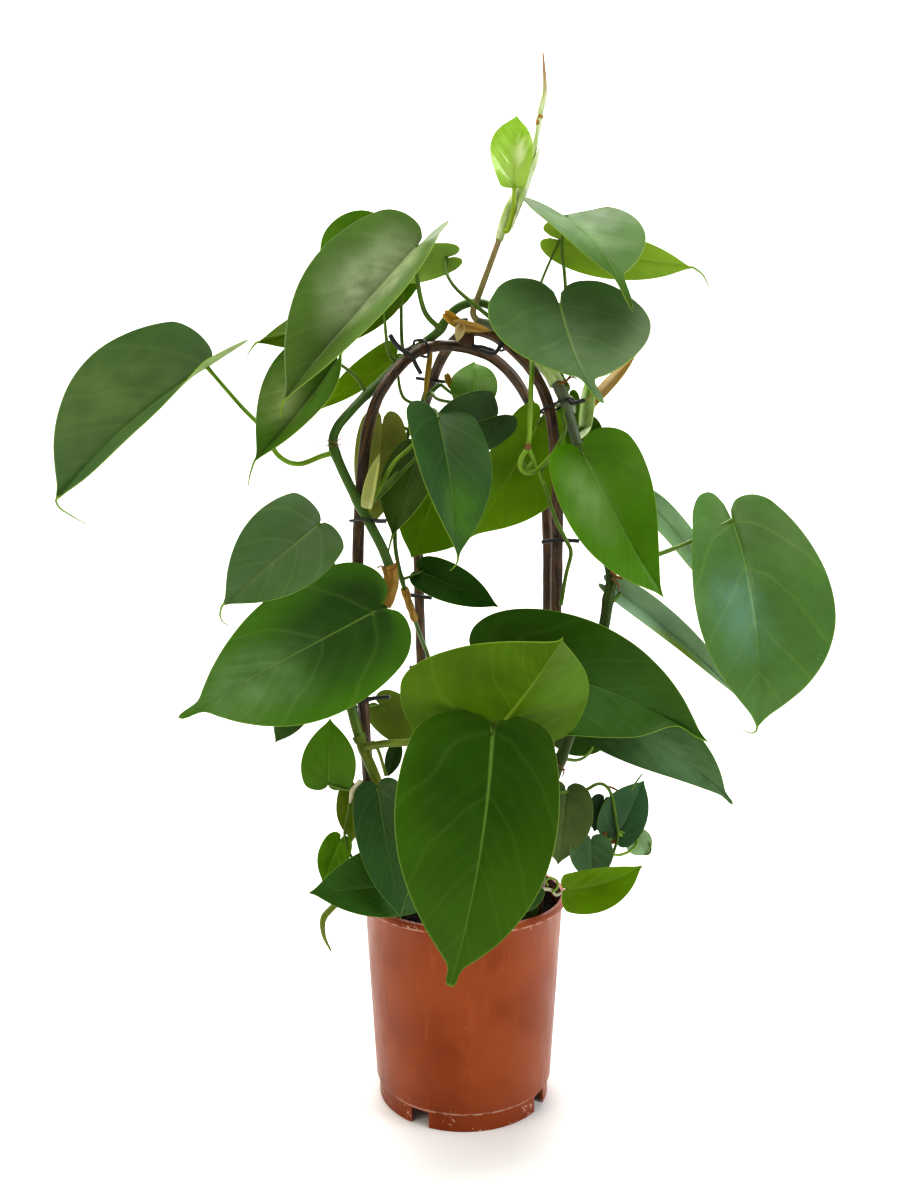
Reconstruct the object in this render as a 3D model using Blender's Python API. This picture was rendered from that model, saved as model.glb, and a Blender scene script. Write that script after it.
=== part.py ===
# Heartleaf philodendron in a plastic nursery pot, trained up two crossed hoops.
# Metres, +Z up. The origin is the middle of the pot's foot, on the surface it stands on.
# The plant's places are read off a photograph: a pixel across, a pixel down, and a depth in
# millimetres behind the pot's middle (a negative depth is nearer the viewer).

import bpy
import bmesh
import numpy as np
from math import pi

MM = 0.001
TOUCH = 0.35                # gap kept between pieces that touch, mm

# Where the photograph was taken from
VIEW_LENS_PX = 1026         # focal length in pixels
VIEW_CENTRE_PX = (450, 600)
VIEW_POINT = (-11.3, -839.0, 460.0)
VIEW_PITCH_DEG = 3.46

# Pot and soil, mm
POT_HEIGHT = 167.0
RIM_RADIUS = 85.0
RIM_BAND = 5.0              # height of the turned-out rim band
NECK_RADIUS = 82.0          # wall just under the rim band
BASE_RADIUS = 72.5          # wall just above the foot ring
FOOT_RADIUS = 70.0
FOOT_HEIGHT = 14.5
FOOT_WALL = 2.5
WALL = 2.0
FLOOR = 3.0
HUB_RADIUS = 9.0            # flat hub in the middle of the underside
NOTCHES = 4
NOTCH_WIDTH = 16.0
NOTCH_HEIGHT = 12.5
NOTCH_TURN_DEG = 240.0
POT_SIDES = 36
SOIL_SIDES = 28
SOIL_BELOW_RIM = 13.0
SOIL_RELIEF = 1.6           # how much the soil's surface rolls
SUNK_HEIGHT = 95.0          # the stems and hoop legs end this high in the soil
SUNK_INWARD = 0.84          # they lean in by this much on the way down

# Ties and the clip where the hoops cross, mm
TIE_RADIUS = 1.1
TIE_SLACK = 1.0
CLIP_SIZE = (15.0, 11.0, 13.0)

# Leaves
BLADE_THICK = 0.7           # mm
SPOKES = (9, 7, 5)          # outline steps each side of the midrib: large, middling and small
RINGS = (2, 2, 2)
STALK_SIDES = (5, 5, 5)
STALK_PAST = 0.8            # the stalk runs this far past the blade's foot, mm
CRUMB = 45                  # vertices in the largest crumb a cut leaves

# Half outline of a heart leaf: along the midrib from the stalk, and out from it, as parts of
# the blade's length and width
HALF_OUTLINE = [(-0.075, 0.022), (-0.125, 0.085), (-0.14, 0.17), (-0.12, 0.28), (-0.055, 0.385),
                (0.05, 0.455), (0.19, 0.496), (0.36, 0.50), (0.53, 0.45), (0.68, 0.352),
                (0.80, 0.235), (0.885, 0.125), (0.945, 0.045), (1.0, 0.0)]
CURL_REACH = 0.45       # how far from the stalk a curl fades out, part of the length
DRIP_FOOT = 0.4         # where a drip tip is narrow, part of the tip from its end
DIP_PLACE, DIP_REACH = 0.87, 0.09   # where the left half's margin rolls in, and how far

# Every leaf starts from these, in millimetres and degrees
LEAF = dict(
    stem="", stalk=(), stalk_radius=1.6,
    width=60,               # across both halves, spread flat
    wide_left=0.5,          # the left half's share of it
    roll=0,                 # turn about the midrib; at 0 the upper face looks at the viewer
    bow=0.05,               # rise of the midrib's middle, as a part of the length
    sweep=0.0,              # the same, sideways
    fold=(8, 8),            # each half's lift at the midrib
    cup=(10, 10),           # more lift at the margin
    curl=(0, 0),            # more fold near the stalk
    lobe=1.0,               # how far the lobes reach back; one number, or left and right
    full=0.0,               # more width towards the tip, the same way
    point=0.0,              # part of the length taken by a narrow drip tip
    drip_width=0.03,        # half width of that tip, part of the leaf's width
    dip=0.0,                # how much the left half's margin rolls in near the tip
    size=1)                 # 0 a large leaf, 1 a middling one, 2 a small one

# Hoops and stems: radii at both ends, mm, and the places they run through
HOOPS = {
    "hoop_a": ((4.5, 4.5), [
        (379, 905, -30), (374, 860, -33), (368, 775, -37), (363, 700, -39), (359, 620, -40),
        (358, 550, -40), (361, 490, -39), (366, 440, -37), (375, 405, -33), (387, 382, -28),
        (402, 364, -20), (418, 351, -13), (437, 346, -6), (455, 346, 0), (475, 350, 7),
        (493, 358, 14), (510, 373, 22), (524, 393, 29), (535, 417, 35), (542, 450, 39),
        (546, 500, 42), (548, 560, 43), (547, 640, 42), (543, 720, 40), (537, 800, 37),
        (531, 882, 33)]),
    "hoop_b": ((4.5, 4.5), [
        (437, 868, 50), (430, 800, 58), (423, 700, 66), (420, 620, 69), (418, 540, 70),
        (419, 470, 66), (422, 420, 57), (430, 388, 46), (443, 356, 28), (458, 337, 10),
        (470, 331, 0), (485, 332, -10), (505, 343, -20), (528, 365, -30), (545, 395, -37),
        (553, 430, -41), (557, 490, -43), (557, 560, -43), (555, 640, -43), (551, 720, -41),
        (545, 800, -37), (539, 890, -32)]),
}
STEMS = {
    "vine_left": ((4.4, 3.4), [
        (397, 900, -22), (390, 840, -36), (378, 785, -50), (364, 750, -53), (354, 718, -50),
        (350, 690, -46), (357, 650, -51), (374, 620, -52), (388, 597, -50), (391, 575, -50),
        (384, 552, -51), (372, 528, -51), (357, 500, -50), (341, 467, -48), (333, 444, -46),
        (337, 428, -44), (348, 414, -38), (364, 397, -22), (380, 382, -10), (400, 362, -3),
        (420, 346, 0), (438, 332, -6), (446, 320, -9), (456, 309, -10), (470, 303, -12),
        (486, 304, -14), (500, 313, -17), (511, 325, -18)]),
    "vine_right": ((5.0, 3.6), [
        (534, 893, -44), (536, 860, -48), (541, 815, -54), (553, 780, -56), (566, 745, -60),
        (580, 705, -66), (592, 665, -68), (603, 630, -68), (608, 600, -66), (611, 575, -62),
        (604, 530, -58), (594, 490, -55), (584, 462, -54), (576, 440, -54), (566, 405, -52),
        (557, 384, -48), (545, 366, -42), (530, 350, -36), (512, 336, -29), (495, 326, -21),
        (478, 322, -15)]),
    "vine_back": ((2.4, 1.5), [
        (446, 872, 34), (440, 800, 42), (434, 720, 51), (430, 665, 56), (419, 632, 26),
        (408, 600, -2), (399, 568, -14), (395, 540, -18), (397, 500, 2), (404, 455, 16),
        (411, 425, 18), (424, 400, 16), (440, 384, 16)]),
    "stem_middle": ((1.7, 1.5), [
        (566, 405, -52), (563, 415, -58), (565, 430, -66), (555, 450, -67), (541, 472, -64),
        (546, 490, -62), (556, 520, -60), (566, 540, -58), (571, 553, -58), (566, 575, -56),
        (561, 605, -54)]),
    "shoot_thin": ((2.1, 1.9), [
        (530, 350, -36), (532, 364, -50), (531, 385, -60), (530, 420, -64), (528, 446, -66),
        (522, 458, -66), (526, 468, -66), (534, 462, -66)]),
    "shoot_stem": ((2.6, 2.3), [
        (478, 322, -15), (473, 312, -20), (480, 292, -23), (491, 262, -25), (503, 229, -27)]),
    "side_shoot": ((2.6, 0.9), [
        (576, 440, -54), (588, 428, -44), (591, 412, -36), (599, 398, -36), (614, 380, -38),
        (634, 358, -40)]),
}
GROWS_FROM = {
    "stem_middle": "vine_right", "shoot_thin": "vine_right", "shoot_stem": "vine_right",
    "side_shoot": "vine_right"}

LEAVES = {
    # left side
    "leaf_far_left": dict(
        stem="vine_left", size=0, base=(207, 367, -36), tip=(56, 500, -62), width=114,
        full=0.32, roll=-38, fold=(6, 44), cup=(12, 10), bow=0.03, sweep=-0.03,
        lobe=(0.55, 1.7),
        stalk=((322, 456, -50), (298, 464, -52), (278, 455, -50), (262, 428, -46),
               (240, 405, -42)), stalk_radius=2.0, curl=(0, 8)),
    "leaf_upper_left": dict(
        stem="vine_left", size=0, base=(418, 246, -44), tip=(283, 402, -90), width=88, roll=-8,
        fold=(4, 60), cup=(8, 8), bow=0.07, lobe=(0.7, 1.2),
        stalk=((437, 326, -16), (424, 310, -26), (417, 275, -36)), stalk_radius=2.0,
        full=(0.3, 0.05), curl=(0, 10)),
    "leaf_behind_upper": dict(
        stem="vine_left", base=(402, 250, 14), tip=(345, 322, 50), width=86, fold=(4, 4),
        stalk=((402, 343, 9),), stalk_radius=1.4, wide_left=0.66, lobe=1.0),
    "leaf_small_pointed": dict(
        stem="vine_left", base=(383, 294, -6), tip=(256, 343, -2), width=46, roll=150, bow=0.06,
        stalk=((388, 350, -8),), stalk_radius=1.4),
    "leaf_top_middle": dict(
        stem="vine_right", base=(446, 258, -12), tip=(372, 275, 18), width=28, fold=(6, 6),
        lobe=1.3, stalk=((493, 320, -32), (470, 301, -33), (454, 286, -28), (446, 271, -20))),
    "leaf_left_sheen": dict(
        stem="vine_left", base=(337, 362, -30), tip=(254, 462, -62), width=68, wide_left=0.56,
        roll=-10, fold=(6, 56), cup=(8, 4), bow=0.06, sweep=0.03, lobe=(0.5, 0.6),
        stalk=((355, 376, -25),), curl=(0, 30)),
    "leaf_pale_back": dict(
        stem="vine_back", base=(396, 355, 22), tip=(317, 411, 42), width=24, roll=170, bow=0.08,
        fold=(4, 4), stalk=((402, 395, 20),), stalk_radius=1.4, wide_left=0.3, lobe=0.4),
    "leaf_left_middle": dict(
        stem="vine_left", base=(319, 524, -74), tip=(222, 606, -106), width=66, wide_left=0.53,
        roll=-4, cup=(8, 8), bow=0.04, lobe=0.5,
        stalk=((362, 548, -60), (346, 548, -68), (330, 534, -73))),
    "leaf_big_left": dict(
        stem="vine_left", size=0, base=(373, 612, -66), tip=(178, 718, -90), width=104, roll=-2,
        stalk=((364, 640, -60), (370, 626, -65)), stalk_radius=2.0, wide_left=0.48, lobe=0.85,
        full=(-0.15, 0.08), point=0.06),
    # front
    "leaf_front_big": dict(
        stem="vine_right", size=0, base=(493, 733, -139), tip=(450, 986, -160), width=112,
        wide_left=0.57, cup=(12, 12), bow=0.04, sweep=0.03, lobe=(0.6, 0.5),
        stalk=((536, 800, -66), (516, 772, -100), (500, 745, -130)), stalk_radius=2.2,
        full=(-0.06, 0.1), point=0.02, drip_width=0.031),
    "leaf_front_folded": dict(
        stem="vine_left", size=0, base=(494, 734, -125), tip=(563, 637, -222), width=158,
        wide_left=0.55, roll=150, cup=(14, 14), bow=0.03, sweep=0.03, lobe=(2.1, 0.8),
        stalk=((382, 744, -66), (412, 742, -84), (455, 736, -117)), stalk_radius=2.2,
        full=(-0.8, -0.75)),
    "leaf_right_dark": dict(
        stem="vine_right", size=0, base=(502, 664, -65), tip=(708, 742, -100), width=98,
        wide_left=0.5, fold=(12, 8), cup=(10, 14), bow=0.03, sweep=0.055, lobe=1.2,
        stalk=((568, 690, -74), (535, 680, -75)), stalk_radius=2.0, full=(-0.35, -0.15), dip=0.9),
    "leaf_right_under": dict(
        stem="vine_right", base=(597, 714, -52), tip=(733, 805, -84), width=56, roll=-10,
        bow=0.06, sweep=0.08, stalk=((584, 722, -58),), stalk_radius=1.7, wide_left=0.5,
        point=0.03, lobe=0.7, full=(-0.4, 0)),
    "leaf_right_thin": dict(
        stem="vine_right", base=(620, 594, -58), tip=(741, 700, -40), width=26, wide_left=0.42,
        roll=10, fold=(30, 20), bow=0.04, stalk=((613, 601, -64),), full=(-0.2, -0.4), sweep=0.025),
    "leaf_right_strip": dict(
        stem="vine_right", base=(650, 505, 20), tip=(714, 590, 44), width=30, roll=40,
        stalk=((622, 555, -48), (642, 528, -18))),
    "leaf_far_right": dict(
        stem="vine_right", size=0, base=(732, 520, -36), tip=(757, 728, -74), width=80,
        wide_left=0.485, roll=6, fold=(14, 14), cup=(12, 12), bow=0.10, sweep=0.04,
        lobe=(1.25, 0.75), full=(0.5, 1.1), stalk=((640, 560, -54), (690, 542, -44)),
        stalk_radius=2.0),
    "leaf_right_bright": dict(
        stem="vine_right", size=0, base=(584, 456, -80), tip=(664, 598, -104), width=76,
        wide_left=0.45, roll=12, fold=(12, 12), bow=0.06, sweep=-0.02, lobe=0.9,
        stalk=((582, 446, -68),), stalk_radius=1.8, full=(0.15, -0.6)),
    # top
    "leaf_top_right": dict(
        stem="vine_right", size=0, base=(560, 305, -48), tip=(604, 404, -128), width=126,
        wide_left=0.5, roll=32, fold=(4, 4), cup=(12, 12), bow=-0.07, lobe=(1.35, 1.25),
        stalk=((528, 328, -24), (546, 312, -28)), stalk_radius=1.8, point=0.26),
    "leaf_top_sheen": dict(
        stem="vine_right", size=0, base=(566, 216, -20), tip=(633, 311, -92), width=86,
        wide_left=0.53, roll=44, fold=(16, 6), cup=(8, 8), bow=0.08,
        stalk=((568, 388, -42), (559, 366, -34), (566, 320, -14), (565, 280, -12),
               (562, 245, -14)), stalk_radius=1.7, lobe=(2.2, 0.2), full=(0, 0.3), point=0.2),
    "leaf_top_pointed": dict(
        stem="vine_right", base=(560, 240, 4), tip=(694, 268, -2), width=40, roll=-20, bow=0.06,
        stalk=((526, 342, -10), (538, 292, 0), (550, 261, 4)), stalk_radius=1.3),
    # middle
    "leaf_centre_dark": dict(
        stem="vine_back", base=(438, 418, -60), tip=(458, 560, -108), width=66, roll=26,
        lobe=(0.9, 0.4), stalk=((418, 422, -2), (428, 412, -24), (435, 410, -46)),
        full=(-0.35, 0)),
    "leaf_centre_back": dict(
        stem="vine_back", base=(496, 416, -24), tip=(420, 440, -34), width=48, lobe=(0.4, 1.8),
        stalk=((440, 400, 4), (470, 405, -12)), stalk_radius=1.4),
    "leaf_top_bright": dict(
        stem="vine_back", base=(474, 402, 22), tip=(474, 362, 52), width=40, fold=(6, 6),
        stalk=((456, 396, 18),), stalk_radius=1.3),
    "leaf_centre_left": dict(
        stem="vine_left", base=(420, 452, -12), tip=(392, 537, -34), width=44, roll=-20,
        bow=0.06, stalk=((376, 494, -38), (398, 472, -20)), stalk_radius=1.5),
    "leaf_behind_hoop": dict(
        stem="vine_back", base=(382, 425, 4), tip=(371, 528, 8), width=44, roll=170,
        fold=(6, 6), stalk=((394, 424, 16),), stalk_radius=1.3),
    "leaf_centre_low": dict(
        stem="vine_back", base=(440, 478, 22), tip=(411, 558, 24), width=76, roll=170,
        fold=(6, 6), stalk=((414, 466, 20),), stalk_radius=1.3, wide_left=0.6),
    "leaf_middle_pale": dict(
        stem="vine_right", base=(538, 424, 8), tip=(470, 538, -8), width=78, roll=150,
        fold=(6, 6), stalk=((562, 404, -28), (550, 408, -6)), wide_left=0.57),
    "leaf_middle_low": dict(
        stem="vine_back", base=(422, 572, -6), tip=(499, 607, -26), width=33, roll=10,
        stalk_radius=1.2, lobe=0.8),
    "leaf_behind_bright": dict(
        stem="vine_right", base=(582, 424, -26), tip=(592, 472, -32), width=30,
        stalk=((576, 430, -34),), stalk_radius=1.3),
    "leaf_behind_stem": dict(
        stem="vine_right", base=(569, 396, 6), tip=(567, 440, 16), width=20,
        stalk=((574, 412, -38), (573, 400, -20)), stalk_radius=1.3),
    "leaf_right_low": dict(
        stem="vine_right", base=(598, 735, -24), tip=(548, 742, -14), width=30, fold=(6, 6),
        stalk=((578, 760, -46), (590, 752, -32)), stalk_radius=1.3),
    "leaf_left_low": dict(
        stem="vine_left", base=(380, 705, -20), tip=(430, 745, -14), width=36, fold=(6, 6),
        stalk=((352, 706, -34), (365, 708, -26)), stalk_radius=1.3),
}

# Small leaves low on the plant, each group joined with its stems into one piece
SPRAYS = {
    "spray_low_left": dict(
        stem="vine_left",
        runs=[
            (1.5, [(379, 788, -49), (366, 789, -56), (352, 790, -60), (340, 788, -60),
                   (328, 784, -60)]),
            (1.3, [(366, 789, -56), (372, 788, -64), (378, 790, -68)]),
            (1.2, [(352, 790, -60), (348, 815, -62), (345, 838, -66), (358, 865, -70),
                   (392, 880, -66), (420, 884, -62)]),
            (1.1, [(345, 838, -66), (340, 840, -66)]),
            (1.1, [(352, 790, -60), (354, 788, -50), (355, 788, -44)])],
        leaves=[
            dict(base=(328, 784, -60), tip=(330, 718, -62), width=42, fold=(4, 4), lobe=0.7),
            dict(base=(378, 790, -68), tip=(401, 919, -96), width=44, roll=-10, fold=(14, 6),
                 cup=(12, 12), lobe=0.6),
            dict(base=(420, 884, -62), tip=(308, 893, -92), width=54, wide_left=0.58, bow=0.08,
                 lobe=0.8),
            dict(base=(340, 840, -66), tip=(322, 882, -72), width=24, fold=(4, 4)),
            dict(base=(355, 788, -44), tip=(352, 842, -42), width=28, fold=(4, 4))]),
    "spray_low_right": dict(
        stem="vine_right",
        runs=[
            (1.5, [(548, 796, -55), (566, 792, -46), (585, 790, -44), (597, 784, -44),
                   (606, 786, -44), (612, 797, -44), (616, 820, -46), (618, 836, -46),
                   (612, 857, -48)]),
            (1.1, [(616, 830, -46), (628, 834, -42), (636, 838, -36), (633, 836, -32)]),
            (1.1, [(612, 838, -46), (600, 842, -50), (591, 840, -54)]),
            (1.2, [(612, 857, -48), (590, 872, -66), (566, 889, -78)])],
        leaves=[
            dict(base=(566, 792, -46), tip=(558, 865, -56), width=46, fold=(6, 6),
                 cup=(14, 14)),
            dict(base=(618, 836, -46), tip=(644, 780, -52), width=38, wide_left=0.4, roll=-10,
                 fold=(10, 10)),
            dict(base=(591, 840, -54), tip=(592, 884, -66), width=34, fold=(6, 6)),
            dict(base=(566, 889, -78), tip=(643, 865, -92), width=32, wide_left=0.6, fold=(6, 6),
                 cup=(8, 8), sweep=-0.07, lobe=0.4),
            dict(base=(633, 836, -32), tip=(650, 854, -32), width=22, fold=(6, 6))]),
}

# Twist ties: the stem and hoop each one holds, the height in the photograph where it goes
# round, and where its free end points
TIES = {
    "tie_top_left": ("vine_left", "hoop_a", (418, 348), [(402, 350, -26), (391, 338, -30)]),
    "tie_right": ("vine_right", "hoop_b", (560, 404), [(572, 403, -62), (585, 400, -66)]),
    "tie_top_right": ("vine_right", "hoop_b", (506, 336), [(496, 352, -34), (480, 350, -32)]),
    "tie_left": ("vine_left", "hoop_a", (364, 522), [(378, 521, -64), (386, 521, -66)]),
    "tie_low_back": ("vine_back", "hoop_b", (426, 668), [(416, 668, 56), (410, 667, 54)]),
    "tie_low_left": ("vine_left", "hoop_a", (358, 700), [(376, 698, -56), (390, 697, -58)]),
}

# Sleeves of dried sheath: stem, pixel heights where each begins and ends, extra radius
SLEEVES = {
    "sheath_left": ("vine_left", (384, 604), (397, 563), (1.6, 2.2)),
    "sheath_right": ("vine_right", (556, 383), (526, 347), (2.0, 1.4)),
    "sheath_back": ("vine_back", (413, 620), (405, 588), (1.1, 1.6)),
}
SHOOT_TIP_ROUTE = [(499, 240, -27), (503, 226, -27), (509, 210, -27), (520, 190, -29),
                   (531, 160, -31), (537, 135, -32), (541, 110, -34), (543, 80, -36),
                   (543, 53, -38)]
SHOOT_TIP_RADII = ((0, 3.3), (0.12, 4.2), (0.3, 4.6), (0.48, 2.6), (0.58, 1.6), (0.64, 1.7),
                   (0.68, 1.1), (1, 0.6))
NEW_LEAF = dict(
    base=(516, 174, -36), tip=(509, 118, -46), width=29, fold=(22, 22), cup=(22, 22),
    bow=0.10, lobe=0.2)
NEW_LEAF_STALK = [(510, 220, -34), (517, 198, -36)]

COLOURS = {
    "blade_green": (0.075, 0.19, 0.03), "blade_dark": (0.03, 0.10, 0.045),
    "blade_pale": (0.22, 0.36, 0.06), "stem_green": (0.14, 0.19, 0.06),
    "stem_tan": (0.42, 0.28, 0.10), "sheath_tan": (0.50, 0.34, 0.14),
    "sheath_pale": (0.45, 0.55, 0.22), "hoop_brown": (0.16, 0.09, 0.06),
    "tie_black": (0.02, 0.02, 0.02), "terracotta": (0.36, 0.12, 0.055),
    "peat": (0.035, 0.022, 0.016)}


# Places in space

def seen(px, py, depth):
    """The point at this depth that shows at this pixel, in mm."""
    pitch = np.radians(VIEW_PITCH_DEG)
    across = (px - VIEW_CENTRE_PX[0]) / VIEW_LENS_PX
    up = (VIEW_CENTRE_PX[1] - py) / VIEW_LENS_PX
    reach = (depth - VIEW_POINT[1]) / (np.cos(pitch) + up * np.sin(pitch))
    rise = reach * (up * np.cos(pitch) - np.sin(pitch))
    return np.array([VIEW_POINT[0] + reach * across, depth, VIEW_POINT[2] + rise])


def unit(v):
    return v / np.linalg.norm(v)


def smooth_route(points, step):
    """A smooth curve through the points, in even steps."""
    points = np.array(points, float)
    first = 2 * points[0] - points[1]
    last = 2 * points[-1] - points[-2]
    points = np.vstack([first, points, last])
    fine = []
    for i in range(1, len(points) - 2):
        a, b, c, d = points[i - 1:i + 3]
        for t in np.linspace(0, 1, 16, endpoint=False):
            fine.append(0.5 * (2 * b + (c - a) * t + (2 * a - 5 * b + 4 * c - d) * t ** 2
                               + (3 * b - a - 3 * c + d) * t ** 3))
    fine.append(points[-2])
    fine = np.array(fine)
    run = run_length(fine)
    at = np.linspace(0, run[-1], max(2, int(round(run[-1] / step)) + 1))
    return np.stack([np.interp(at, run, fine[:, k]) for k in range(fine.shape[1])], 1)


def run_length(points):
    return np.concatenate([[0], np.cumsum(np.linalg.norm(np.diff(points, axis=0), axis=1))])


def thin_out(points, turn_deg, longest):
    """Leave out the places where a route runs nearly straight."""
    keep = [0]
    for i in range(1, len(points) - 1):
        before = unit(points[i] - points[keep[-1]])
        after = unit(points[i + 1] - points[i])
        turned = np.degrees(np.arccos(np.clip(before @ after, -1, 1)))
        far = np.linalg.norm(points[i + 1] - points[keep[-1]]) > longest
        if turned > turn_deg or far:
            keep.append(i)
    keep.append(len(points) - 1)
    return keep


class Rod:
    """A round stem: its route and its radius at each place on it."""

    def __init__(self, places, radii, step=3.0, turn_deg=8.0, longest=60.0):
        route = smooth_route(places, step)
        part = run_length(route) / run_length(route)[-1]
        knots = radii if isinstance(radii[0], tuple) else ((0, radii[0]), (1, radii[1]))
        thick = np.interp(part, [k[0] for k in knots], [k[1] for k in knots])
        self.fine, self.fine_radii = route, thick
        keep = thin_out(route, turn_deg, longest)
        self.route, self.radii = route[keep], thick[keep]

    def nearest(self, place):
        return int(np.argmin(np.linalg.norm(self.fine - place, axis=1)))

    def under_pixel(self, px, py):
        """Where the rod shows nearest to a pixel."""
        sight = unit(seen(px, py, 0) - np.array(VIEW_POINT))
        off = self.fine - np.array(VIEW_POINT)
        return int(np.argmin(np.linalg.norm(off - np.outer(off @ sight, sight), axis=1)))


# Meshes

def new_object(name, verts, faces):
    mesh = bpy.data.meshes.new(name)
    mesh.from_pydata([tuple(v * MM) for v in np.asarray(verts, float)], [], faces)
    body = bmesh.new()
    body.from_mesh(mesh)
    bmesh.ops.recalc_face_normals(body, faces=body.faces)
    body.to_mesh(mesh)
    body.free()
    piece = bpy.data.objects.new(name, mesh)
    bpy.context.scene.collection.objects.link(piece)
    return piece


def tube(name, route, radii, sides=8, closed=False):
    """A round bar along a route, with flat ends, or closed on itself."""
    route = np.asarray(route, float)
    count = len(route)
    radii = np.broadcast_to(np.asarray(radii, float), (count,))
    if closed:
        ahead = np.roll(route, -1, axis=0) - np.roll(route, 1, axis=0)
    else:
        ahead = np.gradient(route, axis=0)
    ahead = ahead / np.linalg.norm(ahead, axis=1, keepdims=True)
    start = np.array([1.0, 0, 0]) if abs(ahead[0][0]) < 0.8 else np.array([0, 1.0, 0])
    side = unit(np.cross(ahead[0], start))
    verts, faces = [], []
    for i in range(count):
        side = unit(side - (side @ ahead[i]) * ahead[i])
        other = np.cross(ahead[i], side)
        for k in range(sides):
            a = 2 * pi * k / sides
            verts.append(route[i] + radii[i] * (np.cos(a) * side + np.sin(a) * other))
    for i in range(count if closed else count - 1):
        here, there = i * sides, (i + 1) % count * sides
        for k in range(sides):
            n = (k + 1) % sides
            faces.append((here + k, here + n, there + n, there + k))
    if not closed:
        faces.append(tuple(reversed(range(sides))))
        faces.append(tuple(range((count - 1) * sides, count * sides)))
    return new_object(name, verts, faces)


def turned(name, profile, sides):
    """A body turned about the upright axis. The profile starts and ends on it."""
    verts, faces, rows = [], [], []
    for r, z in profile:
        if r == 0:
            rows.append([len(verts)])
            verts.append((0, 0, z))
        else:
            rows.append(list(range(len(verts), len(verts) + sides)))
            for k in range(sides):
                a = 2 * pi * k / sides
                verts.append((r * np.cos(a), r * np.sin(a), z))
    for low, high in zip(rows, rows[1:]):
        for k in range(sides):
            n = (k + 1) % sides
            if len(low) == 1:
                faces.append((low[0], high[n], high[k]))
            elif len(high) == 1:
                faces.append((low[k], low[n], high[0]))
            else:
                faces.append((low[k], low[n], high[n], high[k]))
    return new_object(name, verts, faces)


def box(name, middle, size, across=(1, 0, 0)):
    """A box whose first side runs along the flat direction given."""
    u = unit(np.array(across, float))
    v = np.cross([0, 0, 1.0], u)
    verts = [np.array(middle) + u * size[0] * a / 2 + v * size[1] * b / 2
             + np.array([0, 0, size[2] * c / 2])
             for a in (-1, 1) for b in (-1, 1) for c in (-1, 1)]
    faces = [(0, 1, 3, 2), (4, 6, 7, 5), (0, 4, 5, 1), (2, 3, 7, 6), (0, 2, 6, 4), (1, 5, 7, 3)]
    return new_object(name, verts, faces)


def combine(piece, others, operation, solver="MANIFOLD"):
    """Join the others to the piece, or cut them out of it, and drop them."""
    if not others:
        return piece
    group = bpy.data.collections.new("operands")
    bpy.context.scene.collection.children.link(group)
    for other in others:
        bpy.context.scene.collection.objects.unlink(other)
        group.objects.link(other)
    change = piece.modifiers.new("combine", "BOOLEAN")
    change.operation = operation
    change.operand_type = "COLLECTION"
    change.collection = group
    change.solver = solver
    graph = bpy.context.evaluated_depsgraph_get()
    made = bpy.data.meshes.new_from_object(piece.evaluated_get(graph))
    piece.modifiers.clear()
    piece.data = made
    for other in others:
        bpy.data.objects.remove(other)
    bpy.data.collections.remove(group)
    return piece


def clearance(rods):
    """Slightly larger copies of the rods, to cut with."""
    return [tube("clearance", rod.route, rod.radii + TOUCH) for rod in rods]


def drop_crumbs(body):
    """Keep the largest connected part: a cut can leave a crumb at a stalk's end."""
    groups, left = [], set(body.verts)
    while left:
        group, edge = set(), [left.pop()]
        while edge:
            vert = edge.pop()
            group.add(vert)
            for link in vert.link_edges:
                other = link.other_vert(vert)
                if other in left:
                    left.remove(other)
                    edge.append(other)
        groups.append(group)
    groups.sort(key=len)
    crumbs = [vert for group in groups[:-1] if len(group) < CRUMB for vert in group]
    bmesh.ops.delete(body, geom=crumbs, context="VERTS")


def finish(piece, name, colour, finish_roughness):
    """Name the piece, weld it and give it its own material."""
    body = bmesh.new()
    body.from_mesh(piece.data)
    drop_crumbs(body)
    bmesh.ops.triangulate(body, faces=body.faces)
    bmesh.ops.recalc_face_normals(body, faces=body.faces)
    body.to_mesh(piece.data)
    body.free()
    material = bpy.data.materials.new(name)
    material.use_nodes = True
    shader = material.node_tree.nodes["Principled BSDF"]
    shader.inputs["Base Color"].default_value = (*COLOURS[colour], 1)
    shader.inputs["Roughness"].default_value = finish_roughness
    piece.data.materials.clear()
    piece.data.materials.append(material)
    piece.name = name
    piece.data.name = name
    return piece


# Leaves

def half_value(value, on_right):
    """A leaf's value for each point: one number, or one for the left and one for the right."""
    left, right = value if isinstance(value, tuple) else (value, value)
    return np.where(on_right, right, left)


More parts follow.
